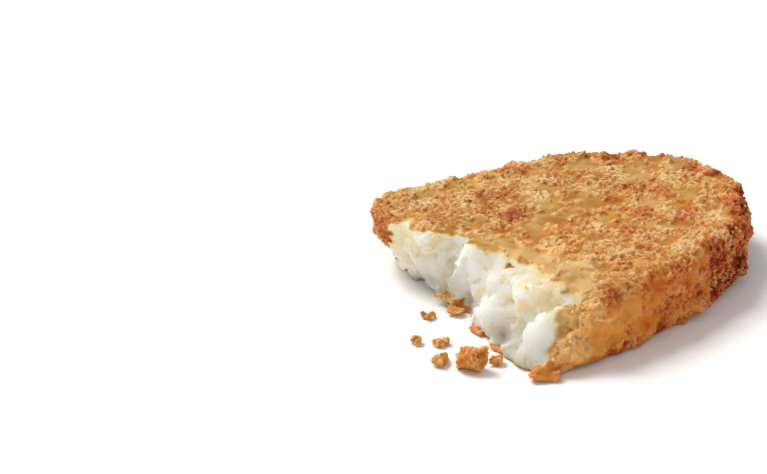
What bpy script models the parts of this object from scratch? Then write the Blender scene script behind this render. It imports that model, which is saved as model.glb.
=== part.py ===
"""Half of an oval hash brown patty, broken across the middle and lying on its underside.

The patty is a fried slab of shredded potato. One end is whole and rounded, with a craggy crust
all over. The other end is torn open: soft lumps of white potato stand out of the break, and thin
slivers of crust are left along its lower edge. Everything is fused into one solid.

Frame while modelling: X runs along the patty from the break towards the rounded end, Y across it
and Z up. The finished solid is then moved so that the middle of its underside is the origin.
"""

import math
import random

import bmesh
import bpy
from mathutils import Matrix, Vector, noise

MM = 0.001

# Driving sizes of the whole patty
HALF_LENGTH = 59.0 * MM  # from the middle of the patty to its rounded end
HALF_WIDTH = 27.7 * MM
THICKNESS = 13.6 * MM
OUTLINE_POWER = 2.6  # 2 is an ellipse, and higher numbers are squarer
TOP_SHOULDER = 3.6 * MM  # radius of the edge round the top
FOOT_LEVEL = 0.25 * MM  # height at which the underside's bumps are flat
FOOT_SHOULDER = 1.8 * MM  # radius of the edge round the underside
TOP_CROWN = 0.5 * MM  # how much higher the middle of the top is

# Uneven outline: (direction from the middle in degrees, width in degrees, bulge)
OUTLINE_BULGES = (
    (0, 9, 1.7 * MM),
    (18, 7, -0.9 * MM),
    (48, 13, -1.7 * MM),
    (84, 9, 0.9 * MM),
    (-20, 7, -0.5 * MM),
    (-75, 22, 0.9 * MM),
)

# Where the patty is broken: (place across it, X of the break at the underside, X at the top)
BREAK_LINE = (
    (-32, -3.0, 10.0),
    (-25, -4.0, 9.0),
    (-19, -3.6, 6.6),
    (-13, -2.6, 7.0),
    (-7, -2.8, 5.2),
    (0, 0.2, 5.0),
    (5, 1.9, 1.6),
    (11, 0.8, -2.6),
    (17, 2.0, -6.0),
    (22, 1.8, -6.4),
    (28, 3.0, -2.0),
    (32, 4.0, 1.0),
)
BREAK_DEPTH = 1.5 * MM  # how far the lumps of potato stand out of the core
BREAK_WAVE = 0.9 * MM

# Relief of the crust
SWELL, SWELL_SIZE = 0.55 * MM, 15 * MM  # slow rise and fall
SHRED_GROOVE, SHRED_SIZE = 0.65 * MM, 6.0 * MM  # grooves between the potato shreds
CRAG, CRAG_SIZE = 1.0 * MM, 3.4 * MM  # crumbly ridges
SIDE_CRAG_GAIN = 1.7  # the sides are rougher than the top
PATCH_SIZE = 11 * MM  # size of the smooth and the crumbly patches

# Shreds and crumbs that stand out of the crust. on_top is the share of them on the flat top, and
# proud is the share of a piece's depth that stands out of the slab.
SHREDS = {
    "count": 150,
    "on_top": 0.45,
    "length": (4.5 * MM, 8.5 * MM),
    "width": (2.6 * MM, 4.4 * MM),
    "depth": (1.8 * MM, 2.6 * MM),
    "proud": 0.33,
}
CRUMBS = {
    "count": 130,
    "on_top": 0.3,
    "length": (1.8 * MM, 3.2 * MM),
    "width": (1.6 * MM, 2.6 * MM),
    "depth": (1.6 * MM, 2.4 * MM),
    "proud": 0.33,
}
CLEAR_OF_BREAK = 3 * MM  # how far they stay from the break

# Small lumps of potato in the break, between the largest ones
SMALL_LUMP_COUNT = 84
SMALL_LUMP_SIZE = (2.8 * MM, 5.8 * MM)
SMALL_LUMP_SINK = (0.6 * MM, 1.8 * MM)  # how far behind the torn face their middles are
SMALL_LUMP_MARGIN = 2.2 * MM  # how far they stay from the top and the underside

# How finely the solid is made
CORE_SUBDIVISIONS = 6
SKIN_STEP = 0.55 * MM  # size of the faces that the fused solid's skin is rebuilt from
TRIANGLES = 11400

# The largest lumps of potato in the break, in mm: (X, Y, Z), (sizes), turn about Z in degrees
MAIN_LUMPS = (
    ((3.6, 0.6, 8.6), (8.5, 9.5, 10.0), 20),
    ((3.2, -15.5, 9.0), (9.0, 10.0, 8.0), -15),
    ((0.6, -21.5, 5.8), (7.0, 6.0, 10.0), 12),
    ((0.6, -9.0, 4.8), (8.5, 9.5, 7.5), 35),
    ((1.6, 7.6, 7.2), (6.5, 6.0, 7.0), -28),
    ((0.0, 12.2, 8.0), (6.5, 6.0, 8.0), 10),
    ((-0.8, 17.4, 7.4), (6.0, 5.5, 7.5), 40),
    ((1.8, 4.4, 3.6), (6.0, 6.5, 5.0), -10),
    ((1.6, -15.5, 3.0), (6.5, 6.5, 4.5), 24),
    ((2.0, 12.5, 3.2), (6.0, 6.0, 4.2), 15),
    ((3.8, -23.6, 7.8), (6.5, 5.0, 9.0), 5),
    ((1.8, 3.2, 2.8), (5.5, 5.5, 4.4), 0),
    ((-3.4, 17.6, 10.2), (5.0, 8.0, 4.0), 12),
    ((-1.6, 10.4, 11.2), (6.0, 7.0, 3.6), -25),
)

# Slivers and bits of crust left along the foot of the break, in mm: (X, Y, Z), (sizes), turn
FOOT_SLIVERS = (
    ((0.2, 7.6, 1.5), (3.6, 8.4, 1.3), 8),
    ((0.2, 2.2, 1.1), (4.0, 3.4, 2.4), 30),
    ((-2.2, -5.6, 1.2), (2.4, 4.2, 1.6), -20),
    ((-3.0, -12.4, 1.1), (3.2, 4.6, 1.4), 14),
    ((-2.0, -26.2, 1.6), (5.6, 4.0, 3.0), 12),
    ((-2.0, -16.2, 1.5), (4.4, 4.6, 2.4), -10),
    ((-2.2, -21.0, 1.6), (4.0, 5.0, 2.8), 15),
    ((1.4, 15.6, 1.4), (3.4, 5.0, 1.6), -12),
)

# Clumps of crust that stand out, in mm: (X, Y, Z), (sizes), turn
CRUST_CLUMPS = (
    ((13.6, 24.0, 12.6), (5.2, 3.8, 4.2), 10),
    ((10.4, 25.2, 11.4), (4.0, 3.4, 3.6), 40),
    ((-4.2, 19.4, 11.2), (5.0, 5.0, 4.0), 0),
    ((-2.6, 22.8, 9.4), (4.6, 4.6, 4.4), 25),
    ((-4.2, 16.6, 12.0), (4.0, 4.4, 3.2), 60),
    ((52.0, -15.2, 7.6), (5.4, 5.0, 5.6), 30),
    ((55.4, -9.2, 9.0), (4.6, 5.0, 4.4), 15),
    ((48.4, -18.8, 3.8), (4.6, 4.6, 4.6), 40),
    ((57.0, 1.5, 7.0), (4.0, 4.8, 4.4), 0),
    ((34.0, -24.9, 3.2), (5.4, 4.0, 4.4), 5),
    ((20.0, -25.7, 3.0), (5.8, 4.2, 4.2), 0),
    ((9.4, -24.8, 11.6), (4.6, 4.2, 3.8), 20),
)


def clear_scene():
    for obj in list(bpy.data.objects):
        bpy.data.objects.remove(obj)


def new_collection(name):
    made = bpy.data.collections.new(name)
    bpy.context.scene.collection.children.link(made)
    return made


def add_object(name, shape, collection):
    """A named object from a bmesh, which is freed."""
    mesh = bpy.data.meshes.new(name)
    shape.to_mesh(mesh)
    shape.free()
    obj = bpy.data.objects.new(name, mesh)
    collection.objects.link(obj)
    return obj


def smooth_step(low, high, value):
    share = min(1.0, max(0.0, (value - low) / (high - low)))
    return share * share * (3 - 2 * share)


# ---- The slab -------------------------------------------------------------------------------


def outline_reach(angle):
    """How far the patty's edge is from its middle in this direction."""
    across = abs(math.cos(angle)) / HALF_LENGTH
    along = abs(math.sin(angle)) / HALF_WIDTH
    reach = (across**OUTLINE_POWER + along**OUTLINE_POWER) ** (-1 / OUTLINE_POWER)
    for direction, width, bulge in OUTLINE_BULGES:
        off = (math.degrees(angle) - direction + 180) % 360 - 180
        reach += bulge * math.exp(-((off / width) ** 2))
    return reach


def side_profile(steps=48):
    """(share of the flat, inset from the edge, height) from the top's middle round to the underside's."""
    path = [(i / steps, TOP_SHOULDER, THICKNESS) for i in range(steps)]
    for i in range(steps + 1):
        turn = math.pi / 2 * i / steps
        path.append((1, TOP_SHOULDER * (1 - math.sin(turn)), THICKNESS - TOP_SHOULDER * (1 - math.cos(turn))))
    for i in range(steps + 1):
        turn = math.pi / 2 * i / steps
        path.append((1, FOOT_SHOULDER * (1 - math.cos(turn)), FOOT_SHOULDER * (1 - math.sin(turn))))
    path += [(1 - i / steps, FOOT_SHOULDER, 0) for i in range(1, steps + 1)]
    return path


def area_share(path):
    """Share of the slab's skin that lies above each step of the profile, as on a round slab."""
    mean_reach = math.sqrt(HALF_LENGTH * HALF_WIDTH)
    places = [(flat * (mean_reach - inset), height) for flat, inset, height in path]
    total = [0.0]
    for (r0, z0), (r1, z1) in zip(places, places[1:]):
        total.append(total[-1] + (r0 + r1) * math.hypot(r1 - r0, z1 - z0))
    return [area / total[-1] for area in total]


def slab_point(direction, path, shares):
    """The place on the slab of a point on the unit sphere, with equal areas kept equal."""
    wanted = (1 - direction.z) / 2
    step = next((i for i in range(1, len(shares)) if shares[i] >= wanted), len(shares) - 1)
    low, high = shares[step - 1], shares[step]
    share = (wanted - low) / (high - low) if high > low else 0.0
    flat, inset, height = (a + (b - a) * share for a, b in zip(path[step - 1], path[step]))
    angle = math.atan2(direction.y, direction.x)
    reach = flat * (outline_reach(angle) - inset)
    crown = TOP_CROWN * (1 - flat * flat) * smooth_step(0, THICKNESS, height)
    return Vector((reach * math.cos(angle), reach * math.sin(angle), height + crown))


def wandering(place):
    """A vector that drifts slowly from place to place."""
    shifts = (Vector((0, 0, 0)), Vector((31, 17, 5)), Vector((11, 43, 29)))
    return Vector([noise.noise(place + shift) for shift in shifts])


def crust_relief(place, normal):
    """How far the crust stands out here: swells, grooves between shreds and crumbly crags."""
    side = smooth_step(0.15, 0.75, 1 - abs(normal.z))
    swell = SWELL * noise.noise(place / SWELL_SIZE)
    wander = wandering(place / PATCH_SIZE) * 0.5
    near, second = noise.voronoi(place / SHRED_SIZE + wander)[0][:2]
    groove = -SHRED_GROOVE * (1 - smooth_step(0.0, 0.32, second - near))
    crumbly = smooth_step(-0.25, 0.3, noise.noise(place / PATCH_SIZE + Vector((7, 3, 5))) + 0.35 * side)
    ridge = noise.turbulence(place / CRAG_SIZE, 3, True) - 0.45
    crag = CRAG * crumbly * ridge * (1 + (SIDE_CRAG_GAIN - 1) * side)
    under = 1 - 0.6 * smooth_step(0.6, 0.95, -normal.z)
    return (swell + groove + crag) * under


def patty(collection):
    """The whole patty as a slab with its crust's relief, before it is broken."""
    shape = bmesh.new()
    bmesh.ops.create_icosphere(shape, subdivisions=CORE_SUBDIVISIONS, radius=1)
    path = side_profile()
    shares = area_share(path)
    for vertex in shape.verts:
        vertex.co = slab_point(vertex.co.normalized(), path, shares)
    shape.normal_update()
    moves = [vertex.normal * crust_relief(vertex.co, vertex.normal) for vertex in shape.verts]
    for vertex, move in zip(shape.verts, moves):
        vertex.co += move
    return add_object("patty", shape, collection)


# ---- The break ------------------------------------------------------------------------------


def break_x(across, height):
    """X of the torn face at this place across the patty and this height."""
    rows = BREAK_LINE
    across_mm = min(max(across / MM, rows[0][0]), rows[-1][0])
    upper = next(i for i in range(1, len(rows)) if rows[i][0] >= across_mm)
    low, high = rows[upper - 1], rows[upper]
    share = (across_mm - low[0]) / (high[0] - low[0])
    foot, top = (low[i] + (high[i] - low[i]) * share for i in (1, 2))
    rise = min(1.0, max(0.0, height / THICKNESS))
    return (foot + (top - foot) * rise) * MM


def break_cutter(collection):
    """Everything on the far side of the break, as a block with one torn face."""
    shape = bmesh.new()
    bmesh.ops.create_grid(shape, x_segments=20, y_segments=44, size=1)
    tall, wide = THICKNESS * 1.6, HALF_WIDTH * 1.25
    for vertex in shape.verts:
        height = THICKNESS / 2 + vertex.co.x * tall
        across = vertex.co.y * wide
        face = Vector((0, across, height))
        wave = BREAK_WAVE * noise.turbulence(face / (5 * MM), 2, False) * 2
        deep = BREAK_DEPTH * smooth_step(0.9 * MM, 2.6 * MM, height)
        deep *= 1 - smooth_step(THICKNESS - 2.6 * MM, THICKNESS - 0.9 * MM, height)
        deep *= 1 - smooth_step(0.7 * HALF_WIDTH, 0.9 * HALF_WIDTH, abs(across))
        vertex.co = Vector((break_x(across, height) + deep + wave, across, height))
    torn = list(shape.faces)
    grown = bmesh.ops.extrude_face_region(shape, geom=torn)["geom"]
    for item in grown:
        if isinstance(item, bmesh.types.BMVert):
            item.co.x = -HALF_LENGTH * 1.3
    bmesh.ops.recalc_face_normals(shape, faces=shape.faces)
    cutter = add_object("break_cutter", shape, collection)
    cutter.hide_render = True
    cutter.display_type = "WIRE"
    return cutter


def angular_lump(name, middle, sizes, axes, dice, collection, corners=15):
    """A broken lump: the hull of random points in a box with cut corners, turned by the matrix axes."""
    shape = bmesh.new()
    for _ in range(corners):
        point = Vector([dice.gauss(0, 1) for _ in range(3)]).normalized()
        boxy = Vector([math.copysign(abs(c) ** 0.7, c) for c in point])
        reach = dice.uniform(0.86, 1.0) / 2
        shape.verts.new(Vector(middle) + axes @ Vector([c * s * reach for c, s in zip(boxy, sizes)]))
    hull = bmesh.ops.convex_hull(shape, input=list(shape.verts))
    spare = [v for v in hull["geom_interior"] + hull["geom_unused"] if isinstance(v, bmesh.types.BMVert)]
    bmesh.ops.delete(shape, geom=list(set(spare)), context="VERTS")
    bmesh.ops.recalc_face_normals(shape, faces=shape.faces)
    return add_object(name, shape, collection)


def place_listed(name, rows, dice, collection):
    """Lumps from a list of (place), (sizes), turn about Z, in mm and degrees."""
    for number, (middle, sizes, turn) in enumerate(rows):
        tilt = Matrix.Rotation(dice.uniform(-0.3, 0.3), 3, "X")
        axes = Matrix.Rotation(math.radians(turn), 3, "Z") @ tilt
        place, size = Vector(middle) * MM, Vector(sizes) * MM
        angular_lump(f"{name}_{number}", place, size, axes, dice, collection, corners=26)


def place_small_lumps(collection):
    """Smaller lumps between the large ones, scattered over the torn face."""
    dice = random.Random(29)
    for number in range(SMALL_LUMP_COUNT):
        across = HALF_WIDTH * 0.9 * (2 * (number + dice.random()) / SMALL_LUMP_COUNT - 1)
        height = dice.uniform(SMALL_LUMP_MARGIN, THICKNESS - SMALL_LUMP_MARGIN)
        size = dice.uniform(*SMALL_LUMP_SIZE)
        middle = Vector((break_x(across, height) + dice.uniform(*SMALL_LUMP_SINK), across, height))
        sizes = [size * dice.uniform(0.8, 1.3) for _ in range(3)]
        axes = Matrix.Rotation(dice.uniform(0, math.pi), 3, "Z") @ Matrix.Rotation(dice.random(), 3, "Y")
        angular_lump(f"small_lump_{number}", middle, sizes, axes, dice, collection)


# ---- Crust that stands out --------------------------------------------------------------------


def shoulder_place(angle, drop):
    """A place on the crust and the way out of it. Drop runs from 0 at the top's edge to 1 at the foot."""
    wall = THICKNESS - TOP_SHOULDER - FOOT_SHOULDER
    path = drop * (TOP_SHOULDER * math.pi / 2 + wall)
    turn = min(path / TOP_SHOULDER, math.pi / 2)
    inset = TOP_SHOULDER * (1 - math.sin(turn))
    height = THICKNESS - TOP_SHOULDER * (1 - math.cos(turn)) - max(0, path - TOP_SHOULDER * math.pi / 2)
    reach = outline_reach(angle) - inset
    place = Vector((reach * math.cos(angle), reach * math.sin(angle), height))
    power = OUTLINE_POWER - 1
    across = math.copysign(abs(place.x / HALF_LENGTH) ** power / HALF_LENGTH, place.x)
    along = math.copysign(abs(place.y / HALF_WIDTH) ** power / HALF_WIDTH, place.y)
    level = Vector((across, along, 0)).normalized()
    return place, level * math.sin(turn) + Vector((0, 0, math.cos(turn)))


def top_place(dice):
    """A place on the flat of the top, and the way up."""
    angle = math.radians(dice.uniform(-90, 90))
    reach = (outline_reach(angle) - TOP_SHOULDER) * math.sqrt(dice.random())
    return Vector((reach * math.cos(angle), reach * math.sin(angle), THICKNESS)), Vector((0, 0, 1))


def scatter_crust(name, dice, collection, count, on_top, length, width, depth, proud):
    """Flattened lumps all over the crust. Each size is given as its least and its most."""
    for number in range(count):
        if dice.random() < on_top:
            place, outward = top_place(dice)
        else:
            place, outward = shoulder_place(math.radians(dice.uniform(-92, 92)), dice.random())
        sizes = (dice.uniform(*depth), dice.uniform(*length), dice.uniform(*width))
        place -= outward * sizes[0] * (0.5 - proud)
        spin = Matrix.Rotation(dice.uniform(0, math.pi), 3, "X")
        axes = outward.to_track_quat("X", "Z").to_matrix() @ spin
        if place.x > break_x(place.y, place.z) + CLEAR_OF_BREAK:
            angular_lump(f"{name}_{number}", place, sizes, axes, dice, collection)


def place_crust(collection):
    """The shreds and crumbs that stand out all over the crust, and the clumps that show most."""
    dice = random.Random(83)
    place_listed("clump", CRUST_CLUMPS, dice, collection)
    scatter_crust("shred", dice, collection, **SHREDS)
    scatter_crust("crumb", dice, collection, **CRUMBS)


# ---- Joining ----------------------------------------------------------------------------------


def apply_modifiers(obj):
    """Makes the object's mesh what its modifiers show, and drops the modifiers."""
    graph = bpy.context.evaluated_depsgraph_get()
    mesh = bpy.data.meshes.new_from_object(obj.evaluated_get(graph))
    obj.modifiers.clear()
    obj.data = mesh


def add_boolean(obj, operation, other=None, collection=None):
    boolean = obj.modifiers.new(operation.lower(), "BOOLEAN")
    boolean.operation = operation
    boolean.solver = "EXACT"
    if collection:
        boolean.operand_type = "COLLECTION"
        boolean.collection = collection
    else:
        boolean.object = other
    apply_modifiers(obj)


def foot_cutter(collection):
    """A block whose top face is the level that the patty rests on."""
    shape = bmesh.new()
    bmesh.ops.create_cube(shape, size=1)
    depth = 10 * MM
    block = Matrix.Diagonal((4 * HALF_LENGTH, 4 * HALF_WIDTH, depth, 1))
    lower = Matrix.Translation((0, 0, FOOT_LEVEL - depth / 2))
    bmesh.ops.transform(shape, matrix=lower @ block, verts=shape.verts)
    cutter = add_object("foot_cutter", shape, collection)
    cutter.hide_render = True
    cutter.display_type = "WIRE"
    return cutter


def keep_largest_shell(obj):
    """Drops loose scraps and fills sealed hollows: only the largest shell of faces stays."""
    shape = bmesh.new()
    shape.from_mesh(obj.data)
    unseen = set(shape.faces)
    shells = []
    while unseen:
        queue = [unseen.pop()]
        shell = []
        while queue:
            face = queue.pop()
            shell.append(face)
            for edge in face.edges:
                for other in edge.link_faces:
                    if other in unseen:
                        unseen.remove(other)
                        queue.append(other)
        shells.append(shell)
    shells.sort(key=len)
    spare = [face for shell in shells[:-1] for face in shell]
    bmesh.ops.delete(shape, geom=spare, context="FACES")
    shape.to_mesh(obj.data)
    shape.free()


def even_skin(obj):
    """Rebuilds the skin from small even faces, which rounds off its sharpest creases."""
    remesh = obj.modifiers.new("even_skin", "REMESH")
    remesh.mode = "VOXEL"
    remesh.voxel_size = SKIN_STEP
    remesh.adaptivity = 0.0
    apply_modifiers(obj)


def thin_out(obj, triangles):
    """Merges small triangles until the solid has about this many."""
    triangulate = obj.modifiers.new("triangulate", "TRIANGULATE")
    triangulate.quad_method = "BEAUTY"
    apply_modifiers(obj)
    decimate = obj.modifiers.new("decimate", "DECIMATE")
    decimate.ratio = min(1.0, triangles / len(obj.data.polygons))
    decimate.use_collapse_triangulate = True
    apply_modifiers(obj)


def centre_on_underside(obj):
    corners = [vertex.co for vertex in obj.data.vertices]
    low = Vector([min(c[i] for c in corners) for i in range(3)])
    high = Vector([max(c[i] for c in corners) for i in range(3)])
    origin = Vector(((low.x + high.x) / 2, (low.y + high.y) / 2, low.z))
    obj.data.transform(Matrix.Translation(-origin))
    print("origin in the frame used while modelling, mm:", [round(c / MM, 3) for c in origin])


def crust_material():
    material = bpy.data.materials.new("fried_potato_crust")
    material.use_nodes = True
    shader = material.node_tree.nodes["Principled BSDF"]
    shader.inputs["Base Color"].default_value = (0.62, 0.33, 0.10, 1)
    shader.inputs["Roughness"].default_value = 0.6
    shader.inputs["Metallic"].default_value = 0.0
    return material


def main():
    clear_scene()
    food = new_collection("hash_brown_half")
    cutters = new_collection("cutters")
    pieces = new_collection("fused_pieces")
    body = patty(food)
    body.name = "hash_brown"
    add_boolean(body, "DIFFERENCE", other=break_cutter(cutters))
    place_listed("lump", MAIN_LUMPS, random.Random(11), pieces)
    place_listed("sliver", FOOT_SLIVERS, random.Random(5), pieces)
    place_small_lumps(pieces)
    place_crust(pieces)
    add_boolean(body, "UNION", collection=pieces)
    for piece in list(pieces.objects):
        bpy.data.objects.remove(piece)
    even_skin(body)
    keep_largest_shell(body)
    thin_out(body, TRIANGLES)
    add_boolean(body, "DIFFERENCE", other=foot_cutter(cutters))
    keep_largest_shell(body)
    centre_on_underside(body)
    body.data.materials.clear()
    body.data.materials.append(crust_material())
    body.data.shade_smooth()
    body.data.set_sharp_from_angle(angle=math.radians(50))


main()
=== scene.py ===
# %% [markdown]
# # A broken hash brown
#
# The piece is half of an oval patty of shredded potato, fried until its outside is a crust of golden
# shreds and crumbs. It has been torn across the middle, so one end shows the soft white potato. This
# script dresses the plain solid of the patty: it keeps the solid's form and place, and adds the crumbs,
# the colours and the light.

import math

import bmesh
import bpy
import numpy as np
from mathutils import Euler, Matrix, Vector, kdtree, noise


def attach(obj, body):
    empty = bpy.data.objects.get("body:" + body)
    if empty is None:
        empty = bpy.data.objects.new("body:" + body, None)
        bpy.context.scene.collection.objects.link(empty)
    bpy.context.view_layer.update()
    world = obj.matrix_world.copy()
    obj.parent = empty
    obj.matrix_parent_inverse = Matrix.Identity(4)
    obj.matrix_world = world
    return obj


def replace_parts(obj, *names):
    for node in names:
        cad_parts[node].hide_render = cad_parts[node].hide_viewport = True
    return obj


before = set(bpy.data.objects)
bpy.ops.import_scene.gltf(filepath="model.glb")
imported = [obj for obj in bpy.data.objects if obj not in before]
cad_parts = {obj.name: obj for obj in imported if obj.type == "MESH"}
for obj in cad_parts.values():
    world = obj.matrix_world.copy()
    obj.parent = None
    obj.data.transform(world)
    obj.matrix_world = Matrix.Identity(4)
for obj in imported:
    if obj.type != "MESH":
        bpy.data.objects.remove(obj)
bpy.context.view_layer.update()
MM = 0.001

# %% [markdown]
# ## The camera
#
# A picture of food this flat-looking is taken from far away with a long lens: the near and the far edge
# of the patty are almost the same size. The camera could be placed by eye, but it is easier to say where
# it aims on the table, from which side, how steeply and how far, and to work its place out from that.
# The directions are those of the patty: X runs from the break to the rounded end.

# %% Place the camera
PICTURE_WIDTH = 767  # pixels
FOCAL_PIXELS = 3000  # focal length of the view, in pixels of that width
SENSOR_MM = 36.0
PATTY_MIDDLE = Vector((-27.47, -0.118, -0.25)) * MM  # the middle of the unbroken patty, on the table
AIM = PATTY_MIDDLE + Vector((5.75, 34.18, 0)) * MM
LOOK_ALONG = Vector((0.5727, 0.8197, 0))
CAMERA_ELEVATION = math.radians(27)
CAMERA_DISTANCE = 0.5703


def add_object(name, data):
    made = bpy.data.objects.new(name, data)
    bpy.context.scene.collection.objects.link(made)
    return made


to_camera = Vector((0, 0, math.sin(CAMERA_ELEVATION))) - LOOK_ALONG * math.cos(CAMERA_ELEVATION)
lens = bpy.data.cameras.new("camera")
lens.sensor_width = SENSOR_MM
lens.lens = FOCAL_PIXELS / PICTURE_WIDTH * SENSOR_MM
lens.clip_start, lens.clip_end = 0.01, 20
camera = add_object("camera", lens)
camera.location = AIM + to_camera * CAMERA_DISTANCE
camera.rotation_euler = (-to_camera).to_track_quat("-Z", "Y").to_euler()
bpy.context.scene.camera = camera
print("camera at", [round(c, 3) for c in camera.location], "with a lens of", round(lens.lens, 1), "mm")

# %% [markdown]
# ## The light
#
# One large soft lamp stands high on the left and a little behind the patty, so that the crumbs throw
# short shadows and the torn face is modelled by light from its side. Pale light from all round fills the
# shadows. The view transform is Standard, so that white stays white and the browns keep their strength.

# %% Set the light
LOOK_RIGHT = Vector((LOOK_ALONG.y, -LOOK_ALONG.x, 0))
KEY_PLACE = -LOOK_RIGHT * 0.5 + LOOK_ALONG * 0.31 + Vector((0, 0, 0.86))
KEY_SIZE, KEY_POWER = 0.45, 9.5
KEY_COLOUR = (1.0, 0.98, 0.95)
SKY_STRENGTH = 0.53

lamp = bpy.data.lights.new("key_light", "AREA")
lamp.shape, lamp.size, lamp.energy, lamp.color = "SQUARE", KEY_SIZE, KEY_POWER, KEY_COLOUR
key_light = add_object("key_light", lamp)
key_light.location = KEY_PLACE
key_light.rotation_euler = KEY_PLACE.to_track_quat("Z", "Y").to_euler()
world = bpy.data.worlds.new("studio")
world.use_nodes = True
world.node_tree.nodes["Background"].inputs["Color"].default_value = (1, 1, 1, 1)
world.node_tree.nodes["Background"].inputs["Strength"].default_value = SKY_STRENGTH
bpy.context.scene.world = world
bpy.context.scene.view_settings.view_transform = "Standard"
print("key light at", [round(c, 2) for c in KEY_PLACE])

# %% [markdown]
# ## The table
#
# The patty lies on a plain white surface. One large square is enough. It is dull, because a mirror image
# of the patty in it would draw the eye from the crumbs.

# %% Set the table
TABLE_HALF_SIDE = 3
TABLE_DROP = 0.02 * MM  # just clear of the underside, so that no two faces lie in one plane


def new_paint(name, roughness, shine):
    """A new material, and its Principled BSDF, the node that makes the surface."""
    paint = bpy.data.materials.new(name)
    paint.use_nodes = True
    shader = paint.node_tree.nodes["Principled BSDF"]
    shader.inputs["Roughness"].default_value = roughness
    shader.inputs["Specular IOR Level"].default_value = shine
    return paint, shader


table_mesh = bmesh.new()
bmesh.ops.create_grid(table_mesh, x_segments=1, y_segments=1, size=TABLE_HALF_SIDE)
table = add_object("table", bpy.data.meshes.new("table"))
table_mesh.to_mesh(table.data)
table_mesh.free()
table.location.z = -TABLE_DROP
table_paint, shader = new_paint("white_table", roughness=0.7, shine=0.2)
shader.inputs["Base Color"].default_value = (0.95, 0.95, 0.955, 1)
table.data.materials.append(table_paint)
print("table is", 2 * TABLE_HALF_SIDE, "m wide")

# %% [markdown]
# ## Where the crust is, and where the inside
#
# The colours depend on where a point was in the unbroken patty. A point near the old outside is crust,
# and a point deep in the tear is white potato. The outside is a superellipse, a rounded oblong that one
# formula describes, so the depth of any point below it can be worked out and needs no painting by hand.

# %% Measure depth below the crust
HALF_LENGTH, HALF_WIDTH, THICKNESS = 59.6 * MM, 28.4 * MM, 13.4 * MM
OUTLINE_POWER = 2.6
SHOULDER = 3.6 * MM  # radius of the rounded edge between the side and the top
DEEPER_NEAR = 1.6 * MM  # the near side is browned this much deeper


def smooth_step(low, high, value):
    share = np.clip((value - low) / (high - low), 0, 1)
    return share * share * (3 - 2 * share)


def mm_step(low, high, value):
    """A smooth step between two limits in millimetres."""
    return smooth_step(low * MM, high * MM, value)


def side_depth(points):
    """How far each point is inside the patty's outline, seen from above."""
    place = (points - np.array(PATTY_MIDDLE))[:, :2]
    scaled = np.abs(place) / (HALF_LENGTH, HALF_WIDTH) + 1e-6
    level = (scaled**OUTLINE_POWER).sum(1) ** (1 / OUTLINE_POWER)
    slope = (scaled / level[:, None]) ** (OUTLINE_POWER - 1) / (HALF_LENGTH, HALF_WIDTH)
    return (1 - level) / np.linalg.norm(slope, axis=1)


def crust_depth(points):
    """How far each point is below the browned outside: its side, its top or its underside."""
    height = points[:, 2]
    thick_side = DEEPER_NEAR * mm_step(0, -12, points[:, 1])
    side, top, foot = side_depth(points) - thick_side, THICKNESS - height, height * 1.7 + 0.2 * MM
    rounded = SHOULDER - np.hypot((SHOULDER - side).clip(0), (SHOULDER - top).clip(0))
    return np.minimum(np.where((side < SHOULDER) & (top < SHOULDER), rounded, np.minimum(side, top)), foot)


# %% Measure distance from the tear
TEAR_HEIGHT = 14  # mm
# The tear: (place across the patty, X at the underside, X at the top), in mm
TEAR = np.array((
    (-32, -3.0, 10.0), (-25, -4.0, 9.0), (-19, -3.6, 6.6), (-13, -2.6, 7.0), (-7, -2.8, 5.2), (0, 0.2, 5.0),
    (5, 1.9, 1.6), (11, 0.8, -2.6), (17, 2.0, -6.0), (22, 1.8, -6.4), (28, 3.0, -2.0), (32, 4.0, 1.0),
))


def behind_tear(points):
    """How far each point is from the tear, towards the rounded end."""
    place = (points - np.array(PATTY_MIDDLE)) / MM
    foot = np.interp(place[:, 1], TEAR[:, 0], TEAR[:, 1])
    top = np.interp(place[:, 1], TEAR[:, 0], TEAR[:, 2])
    rise = np.clip(place[:, 2] / TEAR_HEIGHT, 0, 1)
    return (place[:, 0] - foot - (top - foot) * rise) * MM


print("the tear wanders by", round(float(np.ptp(TEAR[:, 2])), 1), "mm along the top")

# %% [markdown]
# ## Noise for whole arrays
#
# Food is uneven at every scale. Blender's noise functions take one point at a time, so these helpers run
# them over all points of a mesh. The cell noise also says which cell a point is in, and gives each cell
# a number of its own, so that each shred can get its own tone.

# %% Noise helpers
def smooth_noise(points, size, seed=0):
    """Soft noise from about -1 to 1, whose bumps are about this size."""
    shifted = points / size + np.array((13.7, 5.1, 9.3)) * seed
    return np.array([noise.noise(p) for p in shifted.tolist()]) * 1.6


def own_number(middles):
    """A number from 0 to 1 for each place, as good as random, and the same for the same place."""
    return np.modf(np.abs(np.sin(middles @ (12.99, 78.23, 37.72)) * 4375.85))[0]


def nearest_cells(shifted):
    """The middle of each point's cell, and how far inside the cell the point is: 0 at the joints."""
    found = [noise.voronoi(p) for p in shifted.tolist()]
    middle = np.array([places[0][:] for _, places in found])
    return middle, np.array([near[1] - near[0] for near, _ in found])


def cells(points, size, seed=0, warp=0.35, stretch=(1, 1, 1)):
    """For each point: how far it is inside its cell, and its cell's own number."""
    shifted = points / size + np.array((3.1, 17.9, 7.7)) * seed
    shifted += warp * np.stack([smooth_noise(points, size * 1.1, seed + k) for k in (1, 2, 3)], 1)
    middle, inside = nearest_cells(shifted / stretch)
    return inside, own_number(middle)


def unit(vectors):
    return vectors / np.linalg.norm(vectors, axis=1)[:, None]


# %% [markdown]
# ## From the plain solid to a fine skin
#
# The solid has flat faces more than a millimetre wide. They are first replaced by an even skin of small
# faces, by a voxel remesh, and softened until no flat face shows. The crumbs come on top of that. A mesh
# is read into arrays of points and edges, because arrays are much faster than single vertices.

# %% Mesh helpers
def read_items(items, name, width, kind=np.float32):
    values = np.empty(len(items) * width, kind)
    items.foreach_get(name, values)
    return values.reshape(-1, width)


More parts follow.
